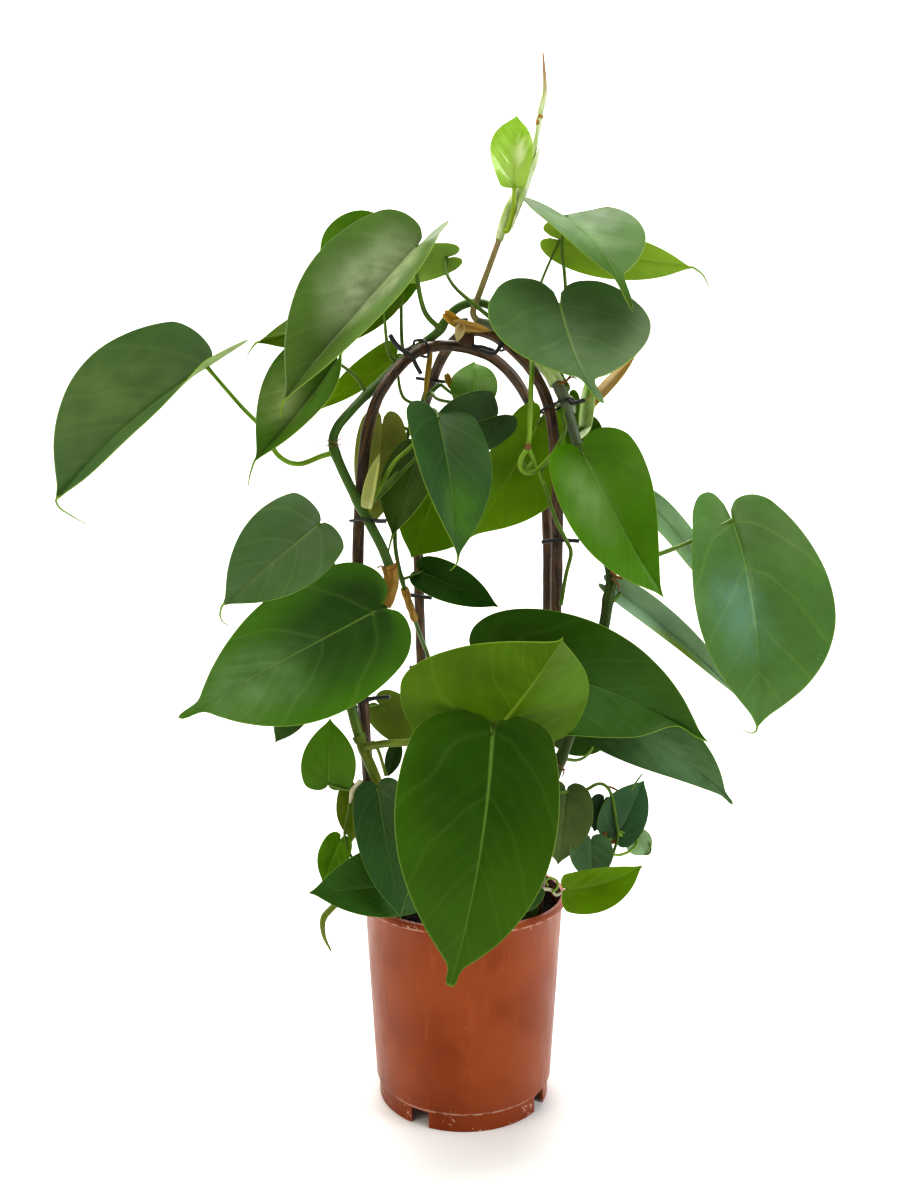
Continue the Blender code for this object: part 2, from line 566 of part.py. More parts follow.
def blade_point(leaf, along, across):
    """Leaf formula: parts of the length and the width, to points in space in mm."""
    base, tip = leaf["base_mm"], leaf["tip_mm"]
    length = np.linalg.norm(tip - base)
    ahead = (tip - base) / length
    eye = unit(np.array(VIEW_POINT) - base)
    face = unit(eye - (eye @ ahead) * ahead)
    right = np.cross(face, ahead)
    turn = np.radians(leaf["roll"])
    face, right = (np.cos(turn) * face + np.sin(turn) * right,
                   np.cos(turn) * right - np.sin(turn) * face)
    on_right = across > 0
    a = np.where(along < 0, along * half_value(leaf["lobe"], on_right), along)
    inside = np.clip(a, 0, 1)
    arch = np.where(a > 0, 4 * inside * (1 - inside), 4 * a)
    lift = leaf["bow"] * arch * length
    swing = leaf["sweep"] * arch * length
    bend = np.arctan(4 * leaf["sweep"] * (1 - 2 * inside))
    half = leaf["width"] * np.where(on_right, 1 - leaf["wide_left"], leaf["wide_left"])
    out_part = np.abs(across) * 2
    near_stalk = np.clip(1 - inside / CURL_REACH, 0, 1) ** 2
    fold = np.radians(half_value(leaf["fold"], on_right)
                      + half_value(leaf["curl"], on_right) * near_stalk)
    cup = np.radians(half_value(leaf["cup"], on_right)) + 1e-4
    out = half * (np.sin(fold + cup * out_part) - np.sin(fold)) / cup
    up = half * (np.cos(fold) - np.cos(fold + cup * out_part)) / cup
    dip = leaf["dip"] * np.exp(-((inside - DIP_PLACE) / DIP_REACH) ** 2)
    out = np.where(on_right, out, -out * (1 - dip))
    out = out * (1 + half_value(leaf["full"], on_right) * inside)
    return (base + np.outer(a * length - out * np.sin(bend), ahead)
            + np.outer(out * np.cos(bend) + swing, right) + np.outer(lift + up, face))


def leaf_outline(leaf, spokes):
    """The heart's edge from the left of the stalk, round the tip, to the right of it."""
    edge = [(a * (1 - leaf["point"]) if a > 0 else a, c) for a, c in HALF_OUTLINE[:-1]]
    if leaf["point"] > 0:
        edge.append((1 - DRIP_FOOT * leaf["point"], leaf["drip_width"]))
    route = smooth_route(edge + [HALF_OUTLINE[-1]], 0.02)
    run = run_length(route)
    at = np.linspace(0, run[-1], spokes + 1)
    half = np.stack([np.interp(at, run, route[:, k]) for k in range(2)], 1)
    return np.vstack([half * (1, -1), half[::-1][1:]])


def blade(name, leaf):
    """A thin leaf with triangles alike on both faces."""
    outline = leaf_outline(leaf, SPOKES[leaf["size"]])
    rings, m = RINGS[leaf["size"]], len(outline)
    flat = np.vstack([[[0, 0]]] + [outline * (r + 1) / rings for r in range(rings)])
    middle = blade_point(leaf, flat[:, 0], flat[:, 1])
    faces = []
    for j in range(m - 1):
        faces.append((0, 1 + j, 2 + j))
        for r in range(rings - 1):
            a = 1 + r * m + j
            faces += [(a, a + m, a + m + 1), (a, a + m + 1, a + 1)]
    normals = np.zeros_like(middle)
    for f in faces:
        n = np.cross(middle[f[1]] - middle[f[0]], middle[f[2]] - middle[f[0]])
        for v in f:
            normals[v] += n
    normals /= np.linalg.norm(normals, axis=1, keepdims=True)
    count = len(middle)
    verts = np.vstack([middle + normals * BLADE_THICK / 2, middle - normals * BLADE_THICK / 2])
    twin = [(c + count, b + count, a + count) for a, b, c in faces]
    edge = [0] + [1 + r * m for r in range(rings)]
    edge += [1 + (rings - 1) * m + j for j in range(1, m)]
    edge += [r * m for r in range(rings - 1, 0, -1)]
    rim = []
    for a, b in zip(edge, edge[1:] + edge[:1]):
        rim += [(a, a + count, b + count), (a, b + count, b)]
    return new_object(name, verts, faces + twin + rim)


def leaf_values(values):
    leaf = dict(LEAF)
    leaf.update(values)
    leaf["base_mm"] = seen(*leaf["base"])
    leaf["tip_mm"] = seen(*leaf["tip"])
    return leaf


def stalk_rod(start, places, leaf):
    """The stalk from its stem to just past the blade's foot."""
    route = [start] + [seen(*p) for p in places] + [leaf["base_mm"]]
    route[-1] = route[-1] + STALK_PAST * unit(route[-1] - route[-2])
    thick = leaf["stalk_radius"]
    return Rod(route, ((0, thick * 1.15), (0.6, thick * 0.9), (1, thick * 0.8)),
               step=4.0, turn_deg=18.0)


def add_leaf(name, values, stems):
    leaf = leaf_values(values)
    stem = stems[leaf["stem"]]
    first = seen(*(leaf["stalk"][0] if leaf["stalk"] else leaf["base"]))
    start = stem.fine[stem.nearest(first)]
    rod = stalk_rod(start, leaf["stalk"], leaf)
    piece = blade(name, leaf)
    stalk = tube("stalk", rod.route, rod.radii, STALK_SIDES[leaf["size"]])
    combine(piece, [stalk], "UNION")
    combine(piece, clearance([stem]), "DIFFERENCE")
    return finish(piece, name, "blade_green", 0.45)


def add_spray(name, values, stems):
    stem = stems[values["stem"]]
    parts = []
    for number, (radius, places) in enumerate(values["runs"]):
        places = [seen(*p) for p in places]
        if number == 0:
            places[0] = stem.fine[stem.nearest(places[0])]
        places[-1] = places[-1] + STALK_PAST * unit(places[-1] - places[-2])
        rod = Rod(places, (radius, radius * 0.8), step=4.0, turn_deg=15.0)
        parts.append(tube("run", rod.route, rod.radii, 5))
    for given in values["leaves"]:
        parts.append(blade("blade", leaf_values({**given, "size": 2})))
    piece = combine(parts[0], parts[1:], "UNION")
    combine(piece, clearance([stem]), "DIFFERENCE")
    return finish(piece, name, "blade_dark", 0.3)


# The pot, the soil and what stands in it

def inner_radius(z):
    low, high = FOOT_HEIGHT + FLOOR, POT_HEIGHT - RIM_BAND
    part = (z - low) / (high - low)
    return BASE_RADIUS - WALL + part * (NECK_RADIUS - BASE_RADIUS)


def add_pot():
    top = POT_HEIGHT
    profile = [
        (0, 0), (HUB_RADIUS, 0), (HUB_RADIUS + 1, FOOT_HEIGHT),
        (FOOT_RADIUS - FOOT_WALL, FOOT_HEIGHT), (FOOT_RADIUS - FOOT_WALL, 0),
        (FOOT_RADIUS, 0), (FOOT_RADIUS, FOOT_HEIGHT), (BASE_RADIUS, FOOT_HEIGHT),
        (NECK_RADIUS, top - RIM_BAND), (RIM_RADIUS, top - RIM_BAND), (RIM_RADIUS, top - 1.0),
        (RIM_RADIUS - 1.0, top), (inner_radius(top) + 0.5, top),
        (inner_radius(top - 1.0), top - 1.0),
        (inner_radius(FOOT_HEIGHT + FLOOR), FOOT_HEIGHT + FLOOR), (0, FOOT_HEIGHT + FLOOR)]
    pot = turned("pot", profile, POT_SIDES)
    cutters = []
    for k in range(NOTCHES):
        a = np.radians(NOTCH_TURN_DEG + 360 / NOTCHES * k)
        out = np.array([np.cos(a), np.sin(a), 0])
        middle = out * (FOOT_RADIUS - 1) + np.array([0, 0, NOTCH_HEIGHT / 2 - 1])
        cutters.append(box("notch", middle, (10, NOTCH_WIDTH, NOTCH_HEIGHT + 2), out))
    combine(pot, cutters, "DIFFERENCE", "EXACT")
    return finish(pot, "pot", "terracotta", 0.45)


def soil_height(x, y):
    return (POT_HEIGHT - SOIL_BELOW_RIM
            + SOIL_RELIEF * (np.sin(x / 11) * np.cos(y / 14 + 1) + 0.6 * np.sin((x + y) / 8)))


def add_soil(rods):
    low = FOOT_HEIGHT + FLOOR + TOUCH
    level = POT_HEIGHT - SOIL_BELOW_RIM
    rim = inner_radius(level - 2 * SOIL_RELIEF) - TOUCH * 2
    profile = [(0, low), (inner_radius(low) - TOUCH * 2, low), (rim, level - 1.6 * SOIL_RELIEF),
               (rim * 0.8, level), (rim * 0.55, level), (rim * 0.28, level), (0, level)]
    soil = turned("soil", profile, SOIL_SIDES)
    for vert in soil.data.vertices:
        if vert.co.z > (level - 0.5) * MM:
            vert.co.z = soil_height(vert.co.x / MM, vert.co.y / MM) * MM
    combine(soil, clearance(rods), "DIFFERENCE")
    return finish(soil, "soil", "peat", 0.95)


def sunk(places, end):
    """Lead a route down into the soil at one end."""
    places = [seen(*p) for p in places]
    foot = places[end] * (SUNK_INWARD, SUNK_INWARD, 1)
    foot[2] = SUNK_HEIGHT
    return [foot] + places if end == 0 else places + [foot]


# Ties, clip, sleeves and the top shoot

def add_tie(name, stem, hoop, pixel, free_end):
    """A wire loop round a stem and a hoop, with one end standing out."""
    i = stem.under_pixel(*pixel)
    p = stem.fine[i]
    j = hoop.nearest(p)
    h = hoop.fine[j]
    ahead = unit(hoop.fine[min(j + 2, len(hoop.fine) - 1)] - hoop.fine[max(j - 2, 0)])
    u = p - h
    u = unit(u - (u @ ahead) * ahead)
    v = np.cross(ahead, u)
    gap = TIE_RADIUS + TIE_SLACK + TOUCH
    loop = []
    for centre, radius, start in ((h, hoop.fine_radii[j] + gap, 90), (p, stem.fine_radii[i] + gap, -90)):
        for a in np.radians(start + np.array([0, 36, 72, 108, 144, 180])):
            loop.append(centre + radius * (np.cos(a) * u + np.sin(a) * v))
    piece = tube(name, loop, TIE_RADIUS, 6, closed=True)
    end = [loop[8]] + [seen(*q) for q in free_end]
    tail = Rod(end, (TIE_RADIUS * 1.2, TIE_RADIUS), turn_deg=15)
    combine(piece, [tube("tail", tail.route, tail.radii, 6)], "UNION")
    combine(piece, clearance([stem, hoop]), "DIFFERENCE")
    return finish(piece, name, "tie_black", 0.4)


def add_clip(hoop_a, hoop_b):
    gaps = np.linalg.norm((hoop_a.fine[:, None] - hoop_b.fine[None])[..., :2], axis=2)
    gaps[hoop_a.fine[:, 2] < 600] = 1e3
    i, j = np.unravel_index(np.argmin(gaps), gaps.shape)
    middle = (hoop_a.fine[i] + hoop_b.fine[j]) / 2
    clip = box("clip", middle, CLIP_SIZE)
    combine(clip, clearance([hoop_a, hoop_b]), "DIFFERENCE")
    return finish(clip, "clip", "hoop_brown", 0.5)


def add_sleeve(name, stem, begin, end, extra, others):
    i, j = sorted((stem.under_pixel(*begin), stem.under_pixel(*end)))
    part = stem.fine[i:j + 1]
    swell = np.linspace(extra[0], extra[1], len(part))
    keep = thin_out(part, 8.0, 14.0)
    outer = tube(name, part[keep], (stem.fine_radii[i:j + 1] + swell)[keep], 9)
    combine(outer, clearance([stem] + others), "DIFFERENCE")
    return finish(outer, name, "sheath_tan", 0.7)


def build():
    for old in list(bpy.data.objects):
        bpy.data.objects.remove(old)
    rods = {}
    for name, (radii, places) in HOOPS.items():
        route = sunk(places, 0)
        inner = [seen(*places[-1]) * (SUNK_INWARD, SUNK_INWARD, 1)]
        inner[0][2] = SUNK_HEIGHT
        rods[name] = Rod(route + inner, radii)
    for name, (radii, places) in STEMS.items():
        stands = name in ("vine_left", "vine_right", "vine_back")
        route = sunk(places, 0) if stands else [seen(*p) for p in places]
        if name in GROWS_FROM:
            trunk = rods[GROWS_FROM[name]]
            route[0] = trunk.fine[trunk.nearest(route[0])]
        rods[name] = Rod(route, radii)

    add_pot()
    standing = ["hoop_a", "hoop_b", "vine_left", "vine_right", "vine_back"]
    add_soil([rods[name] for name in standing])
    for name in HOOPS:
        finish(tube(name, rods[name].route, rods[name].radii), name, "hoop_brown", 0.45)
    add_clip(rods["hoop_a"], rods["hoop_b"])
    for name in STEMS:
        piece = tube(name, rods[name].route, rods[name].radii)
        if name in GROWS_FROM:
            combine(piece, clearance([rods[GROWS_FROM[name]]]), "DIFFERENCE")
        tan = name in ("shoot_stem", "side_shoot")
        finish(piece, name, "stem_tan" if tan else "stem_green", 0.5)

    shoot = Rod([seen(*p) for p in SHOOT_TIP_ROUTE], SHOOT_TIP_RADII, turn_deg=8.0, longest=22)
    tip = tube("shoot_tip", shoot.route, shoot.radii, 8)
    combine(tip, clearance([rods["shoot_stem"]]), "DIFFERENCE")
    finish(tip, "shoot_tip", "sheath_pale", 0.5)
    fresh = leaf_values(NEW_LEAF)
    near = shoot.fine[shoot.nearest(seen(*NEW_LEAF_STALK[0]))]
    stalk = stalk_rod(near, NEW_LEAF_STALK, fresh)
    unfolding = blade("new_leaf", fresh)
    combine(unfolding, [tube("stalk", stalk.route, stalk.radii, 6)], "UNION")
    combine(unfolding, clearance([shoot, rods["shoot_stem"]]), "DIFFERENCE")
    finish(unfolding, "new_leaf", "blade_pale", 0.2)

    branches = {"vine_right": [rods["shoot_thin"]]}
    for name, (stem, begin, end, extra) in SLEEVES.items():
        add_sleeve(name, rods[stem], begin, end, extra, branches.get(stem, []))
    for name, (stem, hoop, pixel, free_end) in TIES.items():
        add_tie(name, rods[stem], rods[hoop], pixel, free_end)
    for name, values in LEAVES.items():
        add_leaf(name, values, rods)
    for name, values in SPRAYS.items():
        add_spray(name, values, rods)


build()
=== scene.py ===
import math

import bpy
import numpy as np
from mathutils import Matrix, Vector, noise


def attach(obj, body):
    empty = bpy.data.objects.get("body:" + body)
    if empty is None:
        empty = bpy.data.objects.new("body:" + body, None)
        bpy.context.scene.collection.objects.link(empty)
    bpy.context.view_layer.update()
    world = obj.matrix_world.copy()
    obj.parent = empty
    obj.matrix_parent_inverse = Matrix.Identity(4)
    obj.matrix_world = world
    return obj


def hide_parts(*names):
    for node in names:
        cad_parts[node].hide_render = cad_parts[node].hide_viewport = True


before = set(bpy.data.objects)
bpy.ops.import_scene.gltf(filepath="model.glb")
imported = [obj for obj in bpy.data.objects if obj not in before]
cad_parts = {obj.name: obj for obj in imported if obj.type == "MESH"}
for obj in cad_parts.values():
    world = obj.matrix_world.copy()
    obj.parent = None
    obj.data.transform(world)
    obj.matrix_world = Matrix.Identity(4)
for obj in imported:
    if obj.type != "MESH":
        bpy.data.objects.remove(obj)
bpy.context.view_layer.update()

# Potted heartleaf philodendron on two crossed hoops. Lengths in the tables are millimetres.
# A place on the plant is a pixel across, a pixel down and a depth behind the pot's middle.
mm = 0.001
bpy.ops.object.select_all(action="DESELECT")

viewPoint = np.array([-11.3, -839.0, 460.0])
viewPitch = math.radians(3.46)
viewLens = 1026.0           # focal length in pixels of the 900 x 1200 frame
viewMiddle = (450, 600)
frameLong = 1200.0


# tools: places, routes, meshes

def camel(name):
    words = name.split("_")
    return words[0] + "".join(word.capitalize() for word in words[1:])


def seen(px, py, depth):
    across = (px - viewMiddle[0]) / viewLens
    up = (viewMiddle[1] - py) / viewLens
    reach = (depth - viewPoint[1]) / (math.cos(viewPitch) + up * math.sin(viewPitch))
    rise = reach * (up * math.cos(viewPitch) - math.sin(viewPitch))
    return np.array([viewPoint[0] + reach * across, depth, viewPoint[2] + rise])


def unit(v):
    return v / np.linalg.norm(v)


def runLength(points):
    return np.concatenate([[0], np.cumsum(np.linalg.norm(np.diff(points, axis=0), axis=1))])


def smoothRoute(points, step):
    points = np.array(points, float)
    points = np.vstack([2 * points[0] - points[1], points, 2 * points[-1] - points[-2]])
    fine = []
    for i in range(1, len(points) - 2):
        a, b, c, d = points[i - 1:i + 3]
        for t in np.linspace(0, 1, 16, endpoint=False):
            fine.append(0.5 * (2 * b + (c - a) * t + (2 * a - 5 * b + 4 * c - d) * t ** 2
                               + (3 * b - a - 3 * c + d) * t ** 3))
    fine = np.array(fine + [points[-2]])
    run = runLength(fine)
    at = np.linspace(0, run[-1], max(2, int(round(run[-1] / step)) + 1))
    return np.stack([np.interp(at, run, fine[:, k]) for k in range(fine.shape[1])], 1)


class Rod:
    # a stem, hoop or stalk: even places along it and a radius at each
    def __init__(self, places, radii, step=2.0):
        self.route = smoothRoute(places, step)
        part = runLength(self.route) / runLength(self.route)[-1]
        knots = radii if isinstance(radii[0], tuple) else ((0, radii[0]), (1, radii[1]))
        self.radii = np.interp(part, [k[0] for k in knots], [k[1] for k in knots])

    def nearest(self, place):
        return int(np.argmin(np.linalg.norm(self.route - place, axis=1)))

    def underPixel(self, px, py):
        sight = unit(seen(px, py, 0) - viewPoint)
        off = self.route - viewPoint
        return int(np.argmin(np.linalg.norm(off - np.outer(off @ sight, sight), axis=1)))

    def swell(self, place, more, reach):
        # a node on the stem: thicker by more mm over the reach
        away = np.linalg.norm(self.route - place, axis=1)
        self.radii = self.radii + more * np.exp(-(away / reach) ** 2)


def linear(hexText):
    parts = [int(hexText[i:i + 2], 16) / 255 for i in (1, 3, 5)]
    return tuple(c / 12.92 if c <= 0.04045 else ((c + 0.055) / 1.055) ** 2.4
                 for c in parts) + (1.0,)


def plug(tree, source, socket):
    # a socket takes a link, or else a constant
    source = source.socket if isinstance(source, Number) else source
    if isinstance(source, bpy.types.NodeSocket):
        tree.links.new(source, socket)
    else:
        socket.default_value = source


def addNode(tree, kind, settings=None, sockets=None):
    node = tree.nodes.new(kind)
    for key, value in (settings or {}).items():
        setattr(node, key, value)
    for key, value in (sockets or {}).items():
        plug(tree, value, node.inputs[key])
    return node


def calculate(operation, *terms):
    # a Math node on Numbers and plain numbers
    tree = [term.tree for term in terms if isinstance(term, Number)][0]
    node = addNode(tree, "ShaderNodeMath", dict(operation=operation), dict(enumerate(terms)))
    return Number(tree, node.outputs[0])


class Number:
    # a value in a material, whose sums and products become Math nodes
    def __init__(self, tree, socket):
        self.tree, self.socket = tree, socket

    def __add__(self, other):
        return calculate("ADD", self, other)

    def __sub__(self, other):
        return calculate("SUBTRACT", self, other)

    def __rsub__(self, other):
        return calculate("SUBTRACT", other, self)

    def __mul__(self, other):
        return calculate("MULTIPLY", self, other)

    def __truediv__(self, other):
        return calculate("DIVIDE", self, other)

    def ramp(self, low, high, out=(0.0, 1.0)):
        node = addNode(self.tree, "ShaderNodeMapRange", dict(interpolation_type="SMOOTHSTEP"),
                       dict(enumerate((self, low, high, *out))))
        return Number(self.tree, node.outputs[0])

    def mix(self, a, b):
        # the first colour where this is nought, the second where it is one
        node = addNode(self.tree, "ShaderNodeMix", dict(data_type="RGBA"), {0: self, 6: a, 7: b})
        return Number(self.tree, node.outputs[2])


def newMaterial(name):
    material = bpy.data.materials.new(name)
    material.use_nodes = True
    tree = material.node_tree
    return material, tree, tree.nodes["Principled BSDF"]


def setShader(tree, shader, sockets):
    for key, value in sockets.items():
        plug(tree, value, shader.inputs[key])


def objectPlace(tree):
    return addNode(tree, "ShaderNodeTexCoord").outputs["Object"]


def meshValue(tree, name, output):
    node = addNode(tree, "ShaderNodeAttribute", dict(attribute_name=name))
    return Number(tree, node.outputs[output])


def axesOf(tree, vector):
    node = addNode(tree, "ShaderNodeSeparateXYZ", None, {0: vector})
    return [Number(tree, output) for output in node.outputs]


def grain(tree, sizeMm, detail=2.0, stretch=None, where=None, roughness=0.5):
    # noise whose features are about sizeMm across; stretch squeezes it along an axis
    if where is None:
        where = objectPlace(tree)
    if stretch is not None:
        where = addNode(tree, "ShaderNodeMapping", None,
                        {"Vector": where, "Scale": stretch}).outputs[0]
    node = addNode(tree, "ShaderNodeTexNoise", None, {
        "Vector": where, "Scale": 1000.0 / sizeMm, "Detail": detail, "Roughness": roughness})
    return Number(tree, node.outputs[0])


def bumpOn(tree, shader, height, depthMm, strength=1.0):
    node = addNode(tree, "ShaderNodeBump", None, {
        "Height": height, "Strength": strength, "Distance": depthMm * mm})
    plug(tree, node.outputs[0], shader.inputs["Normal"])


def editAll(*steps):
    # run edit-mode operators on the whole active mesh
    bpy.ops.object.mode_set(mode="EDIT")
    bpy.ops.mesh.select_all(action="SELECT")
    for step in steps:
        step()
    bpy.ops.object.mode_set(mode="OBJECT")


def activate(*pieces):
    bpy.ops.object.select_all(action="DESELECT")
    for piece in pieces:
        piece.select_set(True)
    bpy.context.view_layer.objects.active = pieces[0]


def placed(name, data):
    piece = bpy.data.objects.new(name, data)
    bpy.context.scene.collection.objects.link(piece)
    return piece


def joined(name, parts):
    activate(*parts)
    if len(parts) > 1:
        bpy.ops.object.join()
    piece = bpy.context.object
    piece.name = piece.data.name = name
    return piece


def handOver(piece, slotName, *nodes):
    # every piece rides on the one body; the nodes are those that it stands for
    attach(piece, "root")
    if nodes:
        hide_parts(*nodes)
    return piece


def bentTube(name, route, radii, material, sides=12, closed=False):
    # a curve with a round bevel, made a mesh; "grain" holds its straightened place in metres
    route = np.asarray(route, float)
    radii = np.broadcast_to(np.asarray(radii, float), (len(route),))
    bpy.ops.object.select_all(action="DESELECT")
    bpy.ops.curve.primitive_nurbs_path_add()
    line = bpy.context.object
    line.data.splines.clear()
    spline = line.data.splines.new("POLY")
    spline.points.add(len(route) - 1)
    for point, place, thick in zip(spline.points, route, radii):
        point.co = (*(place * mm), 1)
        point.radius = thick
    spline.use_cyclic_u = closed
    spline.use_smooth = True
    line.data.dimensions = "3D"
    line.data.bevel_depth = mm
    line.data.bevel_resolution = sides // 2 - 2     # a resolution r gives 2 r + 4 sides
    line.data.use_fill_caps = True
    bpy.ops.object.convert(target="MESH")
    piece = bpy.context.object
    piece.name = name
    around = 2 * (sides // 2)
    run = runLength(route)
    store = piece.data.attributes.new("grain", "FLOAT_VECTOR", "POINT")
    values = np.zeros((len(piece.data.vertices), 3))
    for i in range(min(len(route), len(values) // around)):
        for k in range(around):
            a = 2 * math.pi * k / around
            values[i * around + k] = (run[i] * mm, math.cos(a) * radii[i] * mm,
                                      math.sin(a) * radii[i] * mm)
    store.data.foreach_set("vector", values.ravel())
    piece.data.materials.clear()
    piece.data.materials.append(material)
    return piece


def spunShape(name, profile, steps, material):
    # a profile of edges spun round the upright axis
    mesh = bpy.data.meshes.new(name)
    mesh.from_pydata([(r * mm, 0, z * mm) for r, z in profile],
                     [(i, i + 1) for i in range(len(profile) - 1)], [])
    piece = placed(name, mesh)
    activate(piece)
    editAll(lambda: bpy.ops.mesh.spin(steps=steps, angle=2 * math.pi, center=(0, 0, 0),
                                      axis=(0, 0, 1)),
            lambda: bpy.ops.mesh.select_all(action="SELECT"),
            lambda: bpy.ops.mesh.remove_doubles(threshold=0.00001),
            lambda: bpy.ops.mesh.normals_make_consistent(inside=False))
    piece.data.materials.append(material)
    return piece


# camera, floor and light

print("camera and light")
cameraData = bpy.data.cameras.new("camera")
cameraData.sensor_width = 36.0
cameraData.lens = viewLens * cameraData.sensor_width / frameLong
camera = placed("camera", cameraData)
camera.location = tuple(viewPoint * mm)
camera.rotation_euler = (math.pi / 2 - viewPitch, 0, 0)
bpy.context.scene.camera = camera
bpy.context.scene.view_settings.view_transform = "Standard"
bpy.context.scene.view_settings.look = "Medium High Contrast"

floorValues = dict(width=9.0, front=-4.0, back=2.2, rise=3.2, bend=1.2, colour="#f4f3f1")


def addFloor(values):
    # a pale floor that curves up into the backdrop
    profile = [(values["front"], 0.0), (values["back"] - values["bend"], 0.0)]
    for turn in np.linspace(0, math.pi / 2, 12)[1:]:
        profile.append((values["back"] - values["bend"] * (1 - math.sin(turn)),
                        values["bend"] * (1 - math.cos(turn))))
    profile.append((values["back"], values["rise"]))
    half = values["width"] / 2
    bpy.ops.mesh.primitive_grid_add(x_subdivisions=1, y_subdivisions=len(profile) - 1, size=2)
    floor = bpy.context.object
    floor.name = "floor"
    for vert in floor.data.vertices:
        row = int(round((vert.co.y + 1) / 2 * (len(profile) - 1)))
        vert.co = (vert.co.x * half, *profile[row])
    bpy.ops.object.shade_smooth()
    material, tree, shader = newMaterial("paleFloorPaint")
    tone = grain(tree, 400).ramp(0.3, 0.7).mix(linear(values["colour"]), linear("#f8f7f5"))
    setShader(tree, shader, {"Base Color": tone, "Roughness": 0.85})
    floor.data.materials.append(material)


addFloor(floorValues)

world = bpy.data.worlds.new("studio")
world.use_nodes = True
world.node_tree.nodes["Background"].inputs["Color"].default_value = linear("#ffffff")
world.node_tree.nodes["Background"].inputs["Strength"].default_value = 0.32
bpy.context.scene.world = world

# soft boxes: place in metres, what they aim at, size, watts, colour
lights = {
    "overhead": dict(place=(-0.25, -0.1, 2.1), aim=(0, 0, 0.5), size=1.5, watts=34,
                     colour="#fffdf6"),
    "frontLeft": dict(place=(-1.7, -1.3, 1.5), aim=(0, 0, 0.4), size=0.9, watts=12,
                      colour="#fff8ec"),
    "right": dict(place=(1.8, -0.9, 1.2), aim=(0, 0, 0.45), size=0.9, watts=23,
                  colour="#eef5ff"),
    "backdrop": dict(place=(0, 0.9, 2.6), aim=(0, 2.2, 0.6), size=1.4, watts=60,
                     colour="#ffffff"),
}
for name, values in lights.items():
    lightData = bpy.data.lights.new(name, "AREA")
    lightData.size = values["size"]
    lightData.energy = values["watts"]
    lightData.color = linear(values["colour"])[:3]
    light = placed(name, lightData)
    light.location = values["place"]
    aim = Vector(values["aim"]) - Vector(values["place"])
    light.rotation_euler = aim.to_track_quat("-Z", "Y").to_euler()


# materials

print("materials")


# a side vein climbs by this much of its run out from the midrib, and by more near the tip
veinSlope, veinBend = 0.28, 1.15


def leafSkin(name, values):
    # the waxy upper skin of a heartleaf blade: satin, a grey sheen off its cuticle, a pale
    # midrib, faint side veins, a thin pale margin, and painted light: paler patches of painted sheen
    material, tree, shader = newMaterial(name)
    uv = addNode(tree, "ShaderNodeUVMap", dict(uv_map="blade")).outputs[0]
    along, across = axesOf(tree, uv)[:2]
    off = calculate("ABSOLUTE", across - 0.5)
    # side veins leave the midrib and bend towards the tip
    wander = (grain(tree, 40, 1.0) - 0.5) * 0.11
    climb = along - off * (along * veinBend + veinSlope) + wander
    wave = calculate("PINGPONG", climb * values["veins"], 0.5)
    vein = wave.ramp(values["veinWidth"], 0.0)
    valley = wave.ramp(0.5, 0.0)
    fine = calculate("PINGPONG", climb * (values["veins"] * 3.0), 0.5)
    fineVein = fine.ramp(0.3, 0.0)
    rib = (off / (values["rib"] - along * (values["rib"] * 0.8))).ramp(1.0, 0.35)
    edge = meshValue(tree, "edge", "Fac")
    margin = edge.ramp(0.988, 1.0)
    fade = along.ramp(0.0, 0.9, (1.0, 0.35))
    # streaks run with the side veins; they vary the tone a little and break up the painted sheen patch
    # below
    flow = addNode(tree, "ShaderNodeCombineXYZ", None, {0: climb, 1: across * 0.14}).outputs[0]
    streak = Number(tree, addNode(tree, "ShaderNodeTexNoise", None, {
        "Vector": flow, "Scale": 13.0, "Detail": 3.0}).outputs[0])
    patch = (streak * 0.2 + grain(tree, 34, 4.0) * 0.8).ramp(0.35, 0.65)
    tone = patch.mix(linear(values["tone"]), linear(values["tone2"]))
    # painted light: the blade is painted lighter towards its thinner margin, standing in for light
    # showing through the edge
    tone = (edge + wander * 4.0).ramp(0.35, 1.05, (0, values["rimShow"])).mix(
        tone, linear(values["rimTone"]))
    if "glow" in values:
        # painted light: a paler patch standing in for sheen and lit parts of the blade: its place on
        # the blade, its reach and its colour
        u, v, reach, hexText = values["glow"]
        du, dv = along - u, across - v
        away = calculate("SQRT", du * du + dv * dv) + wander * 2.0
        mottle = (streak * 0.35 + grain(tree, 22, 4.0) * 0.65).ramp(0.32, 0.62, (0.35, 1.0))
        tone = (away.ramp(reach, 0.0) * mottle).mix(tone, linear(hexText))
    ribTone = linear(values["ribTone"])
    tone = (fineVein * 0.02).mix(tone, ribTone)
    tone = (vein * values["veinShow"]).mix(tone, linear(values["veinTone"]))
    tone = (rib * fade * values["ribShow"]).mix(tone, ribTone)
    tone = (margin * 0.45).mix(tone, ribTone)
    rough = grain(tree, 18, 3.0).ramp(0.3, 0.7, (values["rough"] - 0.05, values["rough"] + 0.07))
    setShader(tree, shader, {
        "Base Color": tone, "Roughness": rough, "IOR": 1.4,
        "Specular IOR Level": values["shine"], "Specular Tint": linear("#e6f2cc")})
    # relief: softly sunk veins, deeper by the stalk, pores as coarse as shows
    relief = 1.0 - valley * fade * 0.3 + grain(tree, 24, 2.0) * 2.2
    relief = relief - rib * 0.5 - fineVein * 0.04 + grain(tree, 1.6, 2.0) * 0.10
    bumpOn(tree, shader, relief, values["depth"], 0.6)
    return material


def shade(hexText, factor):
    # the same hex colour, darker or lighter
    parts = [min(255, int(int(hexText[i:i + 2], 16) * factor)) for i in (1, 3, 5)]
    return "#%02x%02x%02x" % tuple(parts)


